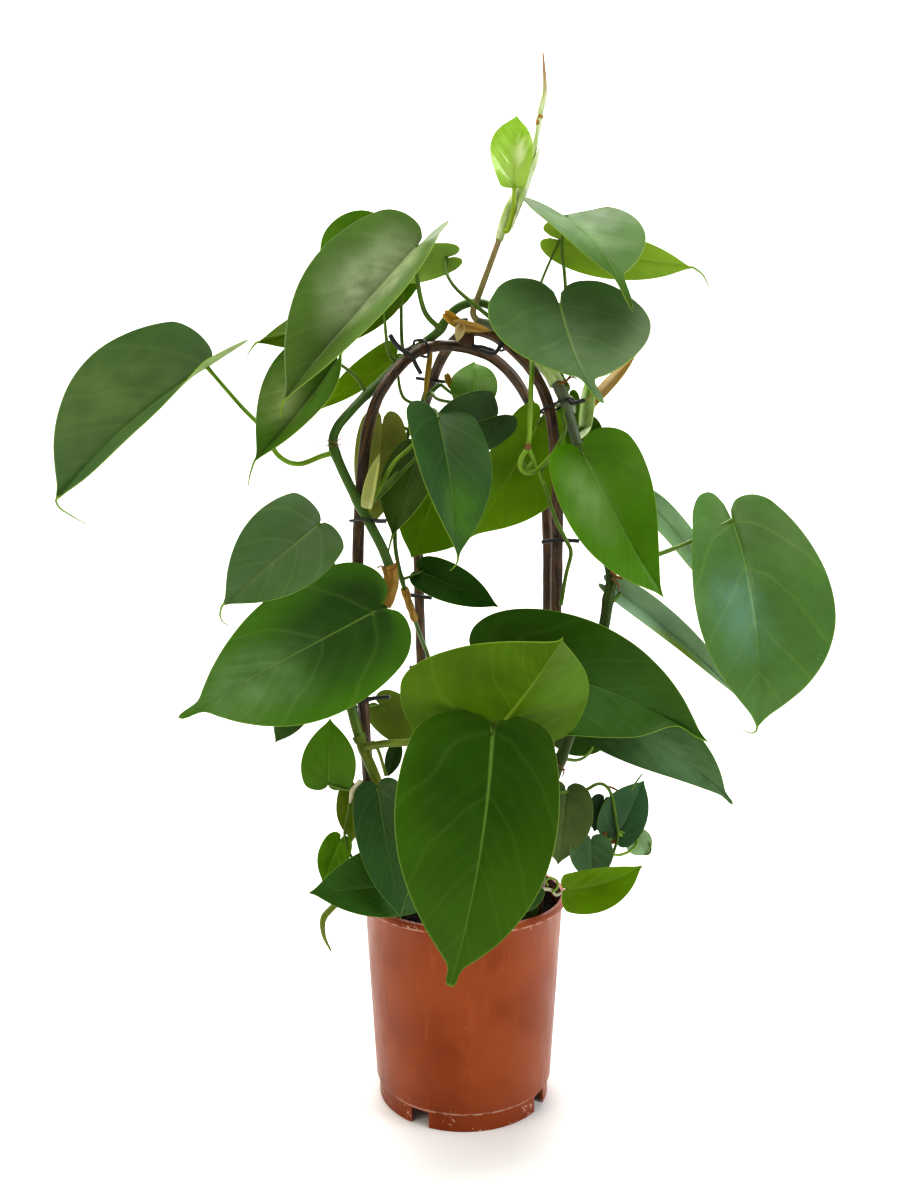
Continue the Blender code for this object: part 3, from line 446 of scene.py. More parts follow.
def upperSkin(tone, tone2, **changes):
    values = dict(tone=tone, tone2=tone2, veins=4.0, veinShow=0.05, veinWidth=0.05,
                  veinTone="#7c9a4a", rib=0.012, ribShow=0.45, ribTone="#7f9f44", rough=0.38,
                  depth=0.3, shine=0.3, rimShow=0.25, rimTone=shade(tone, 1.25))
    values.update(changes)
    return values


def underSkin(tone, tone2, **changes):
    # the underside: matt, yellow-green, with the veins standing proud and lighter
    values = dict(tone=tone, tone2=tone2, veins=4.0, veinShow=0.07, veinWidth=0.05,
                  veinTone="#8ba03c", rib=0.015, ribShow=0.45, ribTone="#8fa63c", rough=0.55,
                  depth=-0.25, shine=0.2, rimShow=0.2, rimTone=shade(tone, 1.2))
    values.update(changes)
    return values


def stemSkin(name, values):
    # a green vine or leaf stalk: waxy, streaked along, with corky tan flecks
    material, tree, shader = newMaterial(name)
    line = meshValue(tree, "grain", "Vector")
    streak = grain(tree, 2.2, 3.0, (0.10, 1, 1), line)
    blotch = grain(tree, 9.0, 3.0, (0.5, 1, 1), line)
    fleck = grain(tree, 1.3, 2.0, (0.6, 1, 1), line).ramp(0.62, 0.72)
    tone = streak.ramp(0.35, 0.65).mix(linear(values["tone"]), linear(values["tone2"]))
    tone = blotch.ramp(0.45, 0.7, (0, values.get("blotch", 0.5))).mix(
        tone, linear(values["tone3"]))
    tone = (fleck * values.get("fleck", 0.3)).mix(tone, linear("#a98d58"))
    if "high" in values:
        # the stem's look above this height, in metres
        low, top, hexText = values["high"]
        tone = axesOf(tree, objectPlace(tree))[2].ramp(low, top).mix(tone, linear(hexText))
    setShader(tree, shader, {
        "Base Color": tone, "Roughness": values.get("rough", 0.45),
        "Specular IOR Level": 0.3, "Specular Tint": linear("#e6f0c8")})
    bumpOn(tree, shader, streak + fleck * 0.5, values.get("depth", 0.35), 0.6)
    return material


stemLooks = {
    # green bark of the vines
    "vine": dict(tone="#3c5a1c", tone2="#4f6c28", tone3="#33481a", fleck=0.15, rough=0.38),
    "vineLeft": dict(tone="#616e1e", tone2="#72802c", tone3="#4c5a1a", fleck=0.15, rough=0.38,
                     high=(0.29, 0.34, "#46632a")),
    # painted shade: the right vine is painted darker low down, where it stands in shadow, and paler
    # grey above a height
    "vineOld": dict(tone="#283a12", tone2="#34481a", tone3="#3a4220", fleck=0.2, blotch=0.4,
                    high=(0.47, 0.53, "#5c6450")),
    "stalk": dict(tone="#48641c", tone2="#5c7828", tone3="#3c521c", fleck=0.08, rough=0.38),
    "stalkPale": dict(tone="#64861e", tone2="#7c9c34", tone3="#4c6c14", fleck=0.1, rough=0.38),
    "shoot": dict(tone="#8a784c", tone2="#a0916a", tone3="#767640", fleck=0.3),
    "sheathPale": dict(tone="#a9bd76", tone2="#dfe3c0", tone3="#7fa03f", fleck=0.1, blotch=0.7,
                       high=(0.788, 0.815, "#a07c5c")),
    "stalkFresh": dict(tone="#86a020", tone2="#9ab43c", tone3="#749014", fleck=0.0, rough=0.3),
    "stalkOlive": dict(tone="#5c6c1c", tone2="#6f7e2c", tone3="#4c5a18", fleck=0.1, rough=0.38),
    "sheathDry": dict(tone="#8c682a", tone2="#ac8840", tone3="#6c4c1c", fleck=0.4, rough=0.75),
    "root": dict(tone="#6b4a2c", tone2="#8a6540", tone3="#4f3420", fleck=0.4, rough=0.8),
}
stemMaterials = {key: stemSkin("stem" + key[0].upper() + key[1:], values)
                 for key, values in stemLooks.items()}


def hoopPlastic():
    # plastic-coated wire, brown with darker drawn streaks and a low shine
    material, tree, shader = newMaterial("brownCoatedWire")
    line = meshValue(tree, "grain", "Vector")
    streak = grain(tree, 2.4, 4.0, (0.12, 1, 1), line)
    blotch = grain(tree, 22.0, 3.0, None, line)
    specks = grain(tree, 1.6, 3.0, (0.4, 1, 1), line).ramp(0.6, 0.7)
    tone = streak.ramp(0.38, 0.62).mix(linear("#2c1c10"), linear("#64462e"))
    tone = blotch.ramp(0.4, 0.65, (0, 0.5)).mix(tone, linear("#45301e"))
    tone = (specks * 0.35).mix(tone, linear("#9a7c5c"))
    setShader(tree, shader, {"Base Color": tone, "Roughness": 0.42})
    bumpOn(tree, shader, streak, 0.4, 0.7)
    return material


def tiePlastic():
    # black twist-tie plastic over wire
    material, tree, shader = newMaterial("blackTiePlastic")
    tone = grain(tree, 3.0).ramp(0.4, 0.7).mix(linear("#121212"), linear("#222120"))
    setShader(tree, shader, {
        "Base Color": tone, "Roughness": grain(tree, 2.0).ramp(0.3, 0.7, (0.35, 0.6))})
    bumpOn(tree, shader, grain(tree, 0.8), 0.15)
    return material


potValues = dict(height=167.0, rim=85.0, band=5.0, neck=82.0, base=72.5, foot=70.0,
                 footHeight=14.5, footWall=2.5, wall=2.0, floor=3.0, hub=9.0, soft=1.0,
                 notches=4, notchWidth=16.0, notchHeight=12.5, notchTurn=240.0, steps=120)


def potPlastic():
    # thin terracotta-coloured polypropylene, vacuum formed: satin, with scuffs and limescale
    material, tree, shader = newMaterial("terracottaPolypropylene")
    where = objectPlace(tree)
    x, y, height = axesOf(tree, where)
    broad = grain(tree, 60, 2.0, None, where)
    scuff = grain(tree, 8, 4.0, (1, 1, 0.25), where, 0.6)
    tone = broad.ramp(0.3, 0.7).mix(linear("#7c3410"), linear("#8e4420"))
    tone = scuff.ramp(0.55, 0.75, (0, 0.25)).mix(tone, linear("#a85b34"))
    # limescale: fine pale specks, thick at the rim and the foot, thin between
    seam = calculate("ABSOLUTE", height - potValues["footHeight"] * mm)
    lip = calculate("ABSOLUTE", height - (potValues["height"] - potValues["band"]) * mm)
    crust = calculate("MINIMUM", seam, lip).ramp(0.0018, 0.0004)
    crust = crust * grain(tree, 9, 4.0, None, where).ramp(0.40, 0.56)
    nearRim, nearFoot = height.ramp(0.152, 0.164), height.ramp(0.034, 0.004)
    cluster = grain(tree, 16, 2.0, None, where).ramp(0.42, 0.66)
    level = 0.73 - calculate("MAXIMUM", nearRim, nearFoot) * cluster * 0.20
    specks = (grain(tree, 2.6, 3.0, None, where, 0.7) - level).ramp(0.0, 0.04)
    lime = calculate("MAXIMUM", specks, crust)
    tone = (lime * 0.75).mix(tone, linear("#d9b8a4"))
    # painted shade: the inner wall, nearer the axis than the wall's middle, is painted near black
    inner = height * (innerRadius(1) - innerRadius(0)) + innerRadius(0) * mm
    away = calculate("SQRT", x * x + y * y)
    innerWallShade = (away - inner).ramp(0.0010, 0.0003) * height.ramp(0.020, 0.022)
    tone = (innerWallShade * 0.85).mix(tone, linear("#1c100a"))
    setShader(tree, shader, {
        "Base Color": tone, "Roughness": scuff.ramp(0.3, 0.7, (0.34, 0.46)) + lime * 0.4,
        "Specular IOR Level": 0.35, "Specular Tint": linear("#f0b8a0")})
    relief = lime * 0.6 + grain(tree, 1.2, 2.0, None, where) * 0.12
    bumpOn(tree, shader, relief, 0.3, 0.5)
    return material


def peatEarth():
    # moist peat compost: near black, fibrous, with paler crumbs
    material, tree, shader = newMaterial("peatCompost")
    crumbs = grain(tree, 5.0, 5.0)
    tone = crumbs.ramp(0.35, 0.7).mix(linear("#080504"), linear("#160f0a"))
    tone = (grain(tree, 2.4, 3.0).ramp(0.6, 0.7) * 0.3).mix(tone, linear("#40301f"))
    setShader(tree, shader, {"Base Color": tone, "Roughness": 0.95, "Specular IOR Level": 0.05})
    bumpOn(tree, shader, crumbs, 2.0)
    return material


# pot and compost

print("pot")


def innerRadius(z, values=potValues):
    low, high = values["footHeight"] + values["floor"], values["height"] - values["band"]
    part = (z - low) / (high - low)
    return values["base"] - values["wall"] + part * (values["neck"] - values["base"])


def addPot(v):
    top, soft = v["height"], v["soft"]
    bandLow = top - v["band"]
    profile = [(0, 0), (v["hub"], 0), (v["hub"] + 1, v["footHeight"]),
               (v["foot"] - v["footWall"], v["footHeight"]), (v["foot"] - v["footWall"], 0.3),
               (v["foot"] - v["footWall"] + 0.4, 0), (v["foot"] - 0.5, 0), (v["foot"], 0.5),
               (v["foot"], v["footHeight"] - 0.4), (v["foot"] + 0.5, v["footHeight"]),
               (v["base"] - 1.6, v["footHeight"] + 0.1), (v["base"] - 0.5, v["footHeight"] + 0.9),
               (v["base"], v["footHeight"] + 2.4)]
    for part in (0.25, 0.5, 0.75):
        profile.append((v["base"] + part * (v["neck"] - v["base"]),
                        v["footHeight"] + part * (bandLow - v["footHeight"])))
    profile += [(v["neck"] - 0.15, bandLow - 1.2), (v["neck"] + 0.3, bandLow - 0.3),
                (v["neck"] + 1.0, bandLow), (v["rim"] - 0.7, bandLow), (v["rim"], bandLow + 0.7),
                (v["rim"], top - soft), (v["rim"] - 0.3, top - 0.3), (v["rim"] - soft, top),
                (innerRadius(top) + 0.5, top), (innerRadius(top - soft), top - soft)]
    low = v["footHeight"] + v["floor"]
    profile += [(innerRadius(z), z) for z in (140.0, 100.0, 50.0, low + 2.0)]
    profile += [(innerRadius(low) - 1.5, low), (0, low)]
    pot = spunShape("potWall", profile, v["steps"], potPlastic())
    for k in range(v["notches"]):
        turn = math.radians(v["notchTurn"] + 360 / v["notches"] * k)
        out = Vector((math.cos(turn), math.sin(turn), 0))
        bpy.ops.object.select_all(action="DESELECT")
        bpy.ops.mesh.primitive_cube_add(
            size=1, location=out * (v["foot"] - 1) * mm + Vector((0, 0, v["notchHeight"] / 2 - 1))
            * mm, rotation=(0, 0, turn), scale=(10 * mm, v["notchWidth"] * mm,
                                                (v["notchHeight"] + 2) * mm))
        cutter = bpy.context.object
        bpy.ops.object.transform_apply(location=True, rotation=True, scale=True)
        soften = cutter.modifiers.new("soften", "BEVEL")
        soften.width, soften.segments = 1.2 * mm, 2
        bpy.ops.object.modifier_apply(modifier=soften.name)
        activate(pot)
        cut = pot.modifiers.new("notch", "BOOLEAN")
        cut.operation, cut.object, cut.solver = "DIFFERENCE", cutter, "EXACT"
        bpy.ops.object.modifier_apply(modifier=cut.name)
        bpy.data.objects.remove(cutter)
    bpy.ops.object.shade_smooth_by_angle(angle=math.radians(35))
    return handOver(pot, "terracotta_plastic", "pot")


addPot(potValues)

soilValues = dict(belowRim=13.0, relief=1.6, low=100.0, rings=34, steps=110, crumbs=520)


def soilHeight(x, y):
    return (potValues["height"] - soilValues["belowRim"]
            + soilValues["relief"] * (math.sin(x / 11) * math.cos(y / 14 + 1)
                                      + 0.6 * math.sin((x + y) / 8)))


def addSoil(v):
    level = potValues["height"] - v["belowRim"]
    wall = innerRadius(level - 2 * v["relief"]) - 0.3
    profile = [(0, v["low"]), (innerRadius(v["low"]) - 0.3, v["low"]), (wall, level - 2.5)]
    profile += [(wall * (1 - i / v["rings"]), level) for i in range(v["rings"] + 1)]
    material = peatEarth()
    soil = spunShape("compost", profile, v["steps"], material)
    for vert in soil.data.vertices:
        if vert.co.z > (level - 1) * mm:
            x, y = vert.co.x / mm, vert.co.y / mm
            rough = 1.5 * noise.noise(Vector((x / 6, y / 6, 3.1)))
            rough += 0.8 * noise.noise(Vector((x / 2.2, y / 2.2, 9.4)))
            vert.co.z = (soilHeight(x, y) + rough) * mm
    bpy.ops.object.shade_smooth()
    # loose crumbs, one shape copied and turned
    bpy.ops.object.select_all(action="DESELECT")
    bpy.ops.mesh.primitive_ico_sphere_add(subdivisions=1, radius=1)
    crumb = bpy.context.object
    shape = np.array([tuple(vert.co) for vert in crumb.data.vertices])
    faces = [tuple(face.vertices) for face in crumb.data.polygons]
    bpy.data.objects.remove(crumb)
    chance = np.random.default_rng(7)
    verts, crumbFaces = [], []
    for i in range(v["crumbs"]):
        turn, r = chance.uniform(0, 2 * math.pi), wall * 0.96 * math.sqrt(chance.uniform(0, 1))
        x, y = r * math.cos(turn), r * math.sin(turn)
        size = chance.uniform(0.8, 2.4) * chance.uniform(0.6, 1.2, 3)
        spin = chance.uniform(0, math.pi)
        local = shape * size * chance.uniform(0.8, 1.2, (len(shape), 1))
        local = np.stack([local[:, 0] * math.cos(spin) - local[:, 1] * math.sin(spin),
                          local[:, 0] * math.sin(spin) + local[:, 1] * math.cos(spin),
                          local[:, 2]], 1)
        first = len(verts)
        verts += [tuple((p + (x, y, soilHeight(x, y) + 0.6)) * mm) for p in local]
        crumbFaces += [tuple(first + n for n in face) for face in faces]
    mesh = bpy.data.meshes.new("crumbs")
    mesh.from_pydata(verts, [], crumbFaces)
    mesh.materials.append(material)
    soil = joined("compost", [soil, placed("crumbs", mesh)])
    return handOver(soil, "peat", "soil")


addSoil(soilValues)


# hoops and stems

print("hoops and stems")
hoopRoutes = {
    "hoop_a": ((4.5, 4.5), [
        (379, 905, -30), (374, 860, -33), (368, 775, -37), (363, 700, -39), (359, 620, -40),
        (358, 550, -40), (361, 490, -39), (366, 440, -37), (375, 405, -33), (387, 382, -28),
        (402, 364, -20), (418, 351, -13), (437, 346, -6), (455, 346, 0), (475, 350, 7),
        (493, 358, 14), (510, 373, 22), (524, 393, 29), (535, 417, 35), (542, 450, 39),
        (546, 500, 42), (548, 560, 43), (547, 640, 42), (543, 720, 40), (537, 800, 37),
        (531, 882, 33)]),
    "hoop_b": ((4.5, 4.5), [
        (437, 868, 50), (430, 800, 58), (423, 700, 66), (420, 620, 69), (418, 540, 70),
        (419, 470, 66), (422, 420, 57), (430, 388, 46), (443, 356, 28), (458, 337, 10),
        (470, 331, 0), (485, 332, -10), (505, 343, -20), (528, 365, -30), (545, 395, -37),
        (553, 430, -41), (557, 490, -43), (557, 560, -43), (555, 640, -43), (551, 720, -41),
        (545, 800, -37), (539, 890, -32)]),
}

stemRoutes = {
    "vine_left": ((4.4, 3.4), [
        (397, 900, -22), (390, 840, -36), (378, 785, -50), (364, 750, -53), (354, 718, -50),
        (350, 690, -46), (357, 650, -51), (374, 620, -52), (388, 597, -50), (391, 575, -50),
        (384, 552, -51), (372, 528, -51), (357, 500, -50), (341, 467, -48), (333, 444, -46),
        (337, 428, -44), (348, 414, -38), (364, 397, -22), (380, 382, -10), (400, 362, -3),
        (420, 346, 0), (438, 332, -6), (446, 320, -9), (456, 309, -10), (470, 303, -12),
        (486, 304, -14), (500, 313, -17), (511, 325, -18)]),
    "vine_right": ((5.0, 3.6), [
        (534, 893, -44), (536, 860, -48), (541, 815, -54), (553, 780, -56), (566, 745, -60),
        (580, 705, -66), (592, 665, -68), (603, 630, -68), (608, 600, -66), (611, 575, -62),
        (604, 530, -58), (594, 490, -55), (584, 462, -54), (576, 440, -54), (566, 405, -52),
        (557, 384, -48), (545, 366, -42), (530, 350, -36), (512, 336, -29), (495, 326, -21),
        (478, 322, -15)]),
    "vine_back": ((2.4, 1.5), [
        (446, 872, 34), (440, 800, 42), (434, 720, 51), (430, 665, 56), (419, 632, 26),
        (408, 600, -2), (399, 568, -14), (395, 540, -18), (397, 500, 2), (404, 455, 16),
        (411, 425, 18), (424, 400, 16), (440, 384, 16)]),
    "stem_middle": ((1.7, 1.5), [
        (566, 405, -52), (563, 415, -58), (565, 430, -66), (555, 450, -67), (541, 472, -64),
        (546, 490, -62), (556, 520, -60), (566, 540, -58), (571, 553, -58), (566, 575, -56),
        (561, 605, -54)]),
    "shoot_thin": ((2.1, 1.9), [
        (530, 350, -36), (532, 364, -50), (531, 385, -60), (530, 420, -64), (528, 446, -66),
        (522, 458, -66), (526, 468, -66), (534, 462, -66)]),
    "shoot_stem": ((2.6, 2.3), [
        (478, 322, -15), (473, 312, -20), (480, 292, -23), (491, 262, -25), (503, 229, -27)]),
    "side_shoot": ((2.6, 0.9), [
        (576, 440, -54), (588, 428, -44), (591, 412, -36), (599, 398, -36), (614, 380, -38),
        (634, 358, -40)]),
}

# the leaves: base and tip are where a blade meets its stalk and where it ends. roll, fold, cup and curl
# are degrees, full, lobe, bow and sweep are shares, and a pair gives the left and right half.
# a leaf's look may paint light on its blade: paler patches for sheen and lit parts, and a lighter
# margin
leaves = {
    # left side
    "leaf_far_left": dict(
        stem="vine_left", size=0, base=(207, 367, -36), tip=(56, 500, -62), width=114, roll=-38,
        fold=(6, 44), cup=(12, 10), curl=(0, 8), bow=0.03, sweep=-0.03, full=0.32, lobe=(0.55, 1.7),
        stalk=((322, 456, -50), (298, 464, -52), (278, 455, -50), (262, 428, -46), (240, 405, -42)),
        stalkRadius=2.0, stalkLook="stalkPale", drip=[(60, 508), (72, 516), (86, 524)], tone="#38542a",
        under="#6f8a34", look=dict(glow=(0.45, 0.25, 0.6, "#546c38"), rimShow=0.3)),
    "leaf_upper_left": dict(
        stem="vine_left", size=0, base=(418, 246, -44), tip=(283, 402, -90), width=88, roll=-8,
        fold=(4, 60), cup=(8, 8), curl=(0, 10), bow=0.07, full=(0.3, 0.05), lobe=(0.7, 1.2),
        stalk=((437, 326, -16), (424, 310, -26), (417, 275, -36)), stalkRadius=2.0,
        drip=[(281, 410), (280, 418)], tone="#4a6428", under="#6f8a34",
        look=dict(rib=0.024, ribShow=0.8, ribTone="#a4b286", glow=(0.3, 0.44, 0.45, "#a0ac86"))),
    "leaf_behind_upper": dict(
        stem="vine_left", base=(402, 250, 14), tip=(345, 322, 50), width=86, wideLeft=0.66,
        fold=(4, 4), stalk=((402, 343, 9),), stalkRadius=1.4, tone="#4e7410"),
    "leaf_small_pointed": dict(
        stem="vine_left", base=(383, 294, -6), tip=(256, 343, -2), width=46, roll=150, bow=0.06,
        stalk=((388, 350, -8),), stalkRadius=1.4, drip=[(251, 349), (247, 356)], tone="#3e5a08",
        under="#3e5800"),
    "leaf_top_middle": dict(
        stem="vine_right", base=(446, 258, -12), tip=(372, 275, 18), width=28, fold=(6, 6), lobe=1.3,
        stalk=((493, 320, -32), (470, 301, -33), (454, 286, -28), (446, 271, -20)), tone="#76963a"),
    "leaf_left_sheen": dict(
        stem="vine_left", base=(337, 362, -30), tip=(254, 462, -62), width=68, wideLeft=0.56, roll=-10,
        fold=(6, 56), cup=(8, 4), curl=(0, 30), bow=0.06, sweep=0.03, lobe=(0.5, 0.6),
        stalk=((355, 376, -25),), drip=[(250, 475), (248, 486)], tone="#3c5c14",
        look=dict(rib=0.02, ribShow=0.6, ribTone="#8a9a6a", glow=(0.55, 0.3, 0.36, "#7e8c58"))),
    "leaf_pale_back": dict(
        stem="vine_back", base=(396, 355, 22), tip=(317, 411, 42), width=24, wideLeft=0.3, roll=170,
        fold=(4, 4), bow=0.08, lobe=0.4, stalk=((402, 395, 20),), stalkRadius=1.4, tone="#3c5a20",
        under="#688a00"),
    "leaf_left_middle": dict(
        stem="vine_left", base=(319, 524, -74), tip=(222, 606, -106), width=66, wideLeft=0.53, roll=-4,
        cup=(8, 8), bow=0.04, lobe=0.5, stalk=((352, 604, -46), (336, 570, -54), (322, 540, -66)),
        drip=[(220, 615), (223, 622), (228, 625)], tone="#3e562c", tone2="#4a603c",
        look=dict(veinShow=0.1)),
    "leaf_big_left": dict(
        stem="vine_left", size=0, base=(373, 612, -66), tip=(178, 718, -90), width=104, wideLeft=0.48,
        roll=-2, full=(-0.15, 0.08), lobe=0.85, point=0.06, stalk=((364, 640, -60), (370, 626, -65)),
        stalkRadius=2.0, tone="#2c4a16",
        look=dict(veinShow=0.1, glow=(0.62, 0.55, 0.42, "#62804e"), rimShow=0.6, rimTone="#4c7a10")),
    # front
    "leaf_front_big": dict(
        stem="vine_right", size=0, base=(493, 733, -139), tip=(450, 986, -160), width=112,
        wideLeft=0.57, cup=(12, 12), bow=0.04, sweep=0.03, full=(-0.06, 0.1), lobe=(0.6, 0.5),
        point=0.02, tipWidth=0.031, stalk=((536, 800, -66), (516, 772, -100), (500, 745, -130)),
        stalkRadius=2.2, tone="#284a00",
        look=dict(rib=0.018, rimShow=0.5, rimTone="#3c6000", glow=(0.75, 0.8, 0.5, "#3a5c00"))),
    "leaf_front_folded": dict(
        stem="vine_left", size=0, base=(494, 734, -125), tip=(563, 637, -222), width=158,
        wideLeft=0.55, roll=150, cup=(14, 14), bow=0.03, sweep=0.03, full=(-0.8, -0.75),
        lobe=(2.1, 0.8), stalk=((382, 744, -66), (412, 742, -84), (455, 736, -117)), stalkRadius=2.8,
        stalkLook="stalkOlive", tone="#3c6000", under="#4a6a00"),
    "leaf_right_dark": dict(
        stem="vine_right", size=0, base=(502, 664, -65), tip=(708, 742, -100), width=98, fold=(12, 8),
        cup=(10, 14), bow=0.03, sweep=0.055, full=(-0.35, -0.15), lobe=1.2, dip=0.9,
        stalk=((568, 690, -74), (535, 680, -75)), stalkRadius=2.0, tone="#30520e",
        look=dict(glow=(0.5, 0.3, 0.6, "#3c5e2c"), rimShow=0.15)),
    "leaf_right_under": dict(
        stem="vine_right", base=(597, 714, -52), tip=(733, 805, -84), width=56, roll=-10, bow=0.06,
        sweep=0.08, full=(-0.4, 0), lobe=0.7, point=0.03, stalk=((584, 722, -58),), stalkRadius=1.7,
        tone="#36542a", look=dict(glow=(0.5, 0.4, 0.7, "#5e7c56"))),
    "leaf_right_thin": dict(
        stem="vine_right", base=(620, 594, -58), tip=(741, 700, -40), width=26, wideLeft=0.42, roll=10,
        fold=(30, 20), bow=0.04, sweep=0.025, full=(-0.2, -0.4), stalk=((613, 601, -64),),
        tone="#7a9676", under="#56740e", look=dict(glow=(0.5, 0.05, 0.42, "#7c9428"))),
    "leaf_right_strip": dict(
        stem="vine_right", base=(650, 505, 20), tip=(714, 590, 44), width=30, roll=40,
        stalk=((622, 555, -48), (642, 528, -18)), tone="#6e8c60"),
    "leaf_far_right": dict(
        stem="vine_right", size=0, base=(732, 520, -36), tip=(757, 728, -74), width=80, wideLeft=0.485,
        roll=6, fold=(14, 14), cup=(12, 12), bow=0.10, sweep=0.04, full=(0.5, 1.1), lobe=(1.25, 0.75),
        stalk=((640, 560, -54), (690, 542, -44)), stalkRadius=2.0,
        drip=[(755, 732), (750, 733), (743, 730)], tone="#4b6f34",
        look=dict(veinShow=0.16, rough=0.3, shine=0.5, glow=(0.45, 0.36, 0.34, "#5e8268"))),
    "leaf_right_bright": dict(
        stem="vine_right", size=0, base=(584, 456, -80), tip=(664, 598, -104), width=76, wideLeft=0.45,
        roll=12, fold=(12, 12), bow=0.06, sweep=-0.02, full=(0.15, -0.6), lobe=0.9,
        stalk=((582, 446, -68),), stalkRadius=1.8, tone="#426c00",
        look=dict(glow=(0.25, 0.33, 0.36, "#6d8850"))),
    # top
    "leaf_top_right": dict(
        stem="vine_right", size=0, base=(560, 305, -48), tip=(604, 404, -128), width=126, roll=32,
        fold=(4, 4), cup=(12, 12), bow=-0.07, lobe=(1.35, 1.25), point=0.26,
        stalk=((528, 328, -24), (546, 312, -28)), stalkRadius=1.8, tone="#3c562c",
        look=dict(glow=(0.35, 0.5, 0.6, "#556a48"), rimShow=0.3)),
    "leaf_top_sheen": dict(
        stem="vine_right", size=0, base=(566, 216, -20), tip=(633, 311, -92), width=86, wideLeft=0.53,
        roll=44, fold=(16, 6), cup=(8, 8), bow=0.08, full=(0, 0.3), lobe=(2.2, 0.2), point=0.2,
        stalk=((568, 388, -42), (559, 366, -34), (566, 320, -14), (565, 280, -12), (562, 245, -14)),
        stalkRadius=1.7, tone="#3c5a1e",
        look=dict(glow=(0.3, 0.3, 0.5, "#5c7848"), rough=0.5, shine=0.15)),
    "leaf_top_pointed": dict(
        stem="vine_right", base=(560, 240, 4), tip=(694, 268, -2), width=40, roll=-20, bow=0.06,
        stalk=((526, 342, -10), (538, 292, 0), (550, 261, 4)), stalkRadius=1.3,
        drip=[(703, 275), (709, 287)], tone="#7c9c28"),
    # middle
    "leaf_centre_dark": dict(
        stem="vine_back", base=(438, 418, -60), tip=(458, 560, -108), width=66, roll=26,
        full=(-0.35, 0), lobe=(0.9, 0.4), stalk=((418, 422, -2), (428, 412, -24), (435, 410, -46)),
        drip=[(455, 566), (450, 571)], tone="#2c4a22", look=dict(glow=(0.7, 0.6, 0.4, "#446a20"))),
    "leaf_centre_back": dict(
        stem="vine_back", base=(496, 416, -24), tip=(420, 440, -34), width=48, lobe=(0.4, 1.8),
        stalk=((440, 400, 4), (470, 405, -12)), stalkRadius=1.4, tone="#3a5430"),
    "leaf_top_bright": dict(
        stem="vine_back", base=(474, 402, 22), tip=(474, 362, 52), width=40, fold=(6, 6),
        stalk=((456, 396, 18),), stalkRadius=1.3, tone="#3c6000", under="#4e7400",
        look=dict(rough=0.5, shine=0.15)),
    "leaf_centre_left": dict(
        stem="vine_left", base=(420, 452, -12), tip=(392, 537, -34), width=44, roll=-20, bow=0.06,
        stalk=((376, 494, -38), (398, 472, -20)), stalkRadius=1.5,
        drip=[(389, 549), (388, 560), (392, 573)], tone="#3e561c"),
    "leaf_behind_hoop": dict(
        stem="vine_back", base=(382, 425, 4), tip=(371, 528, 8), width=44, roll=170, fold=(6, 6),
        stalk=((394, 424, 16),), stalkRadius=1.3, tone="#6a7434", under="#7e823c"),
    "leaf_centre_low": dict(
        stem="vine_back", base=(440, 478, 22), tip=(411, 558, 24), width=76, wideLeft=0.6, roll=170,
        fold=(6, 6), stalk=((414, 466, 20),), stalkRadius=1.3, tone="#3a5a00", under="#587e00"),
    "leaf_middle_pale": dict(
        stem="vine_right", base=(538, 424, 8), tip=(470, 538, -8), width=78, wideLeft=0.57, roll=150,
        fold=(6, 6), stalk=((562, 404, -28), (550, 408, -6)), tone="#3c5a20", under="#5c8000"),
    "leaf_middle_low": dict(
        stem="vine_back", base=(422, 572, -6), tip=(499, 607, -26), width=33, roll=10, lobe=0.8,
        stalkRadius=1.2, tone="#1e4600"),
    "leaf_behind_bright": dict(
        stem="vine_right", base=(582, 424, -26), tip=(592, 472, -32), width=30,
        stalk=((576, 430, -34),), stalkRadius=1.3, tone="#3c6000"),
    "leaf_behind_stem": dict(
        stem="vine_right", base=(569, 396, 6), tip=(567, 440, 16), width=20,
        stalk=((574, 412, -38), (573, 400, -20)), stalkRadius=1.3, tone="#426400"),
    "leaf_right_low": dict(
        stem="vine_right", base=(598, 735, -24), tip=(548, 742, -14), width=30, fold=(6, 6),
        stalk=((578, 760, -46), (590, 752, -32)), stalkRadius=1.3, tone="#34541c"),
    "leaf_left_low": dict(
        stem="vine_left", base=(380, 705, -20), tip=(430, 745, -14), width=36, fold=(6, 6),
        stalk=((352, 706, -34), (365, 708, -26)), stalkRadius=1.3, tone="#6c7e2a"),
}

sinking = dict(height=95.0, inward=0.84)
sideStems = ("stem_middle", "shoot_thin", "shoot_stem", "side_shoot")     # off the right vine


def sunkFoot(place):
    return np.array([place[0] * sinking["inward"], place[1] * sinking["inward"],
                     sinking["height"]])


rods = {}
for name, (radii, places) in hoopRoutes.items():
    route = [seen(*place) for place in places]
    rods[name] = Rod([sunkFoot(route[0])] + route + [sunkFoot(route[-1])], radii)
for name, (radii, places) in stemRoutes.items():
    route = [seen(*place) for place in places]
    if name in sideStems:
        trunk = rods["vine_right"]
        route[0] = trunk.route[trunk.nearest(route[0])]
    else:
        route = [sunkFoot(route[0])] + route
    rods[name] = Rod(route, radii)

# nodes: the vine thickens where a leaf stalk leaves it
nodeSwell = dict(more=0.55, reach=4.5)
for name, values in leaves.items():
    trunk = rods[values["stem"]]
    first = seen(*(values["stalk"][0] if values.get("stalk") else values["base"]))
    trunk.swell(trunk.route[trunk.nearest(first)], nodeSwell["more"], nodeSwell["reach"])

hoopMaterial = hoopPlastic()
for name in hoopRoutes:
    rod = rods[name]
    part = runLength(rod.route)
    # the coating lies a little unevenly on the wire
    wobble = 0.10 * np.sin(part / 7.0) + 0.07 * np.sin(part / 3.1 + 1)
    hoop = bentTube(camel(name), rod.route, rod.radii + wobble, hoopMaterial, 16)
    handOver(hoop, "hoop_plastic", name)

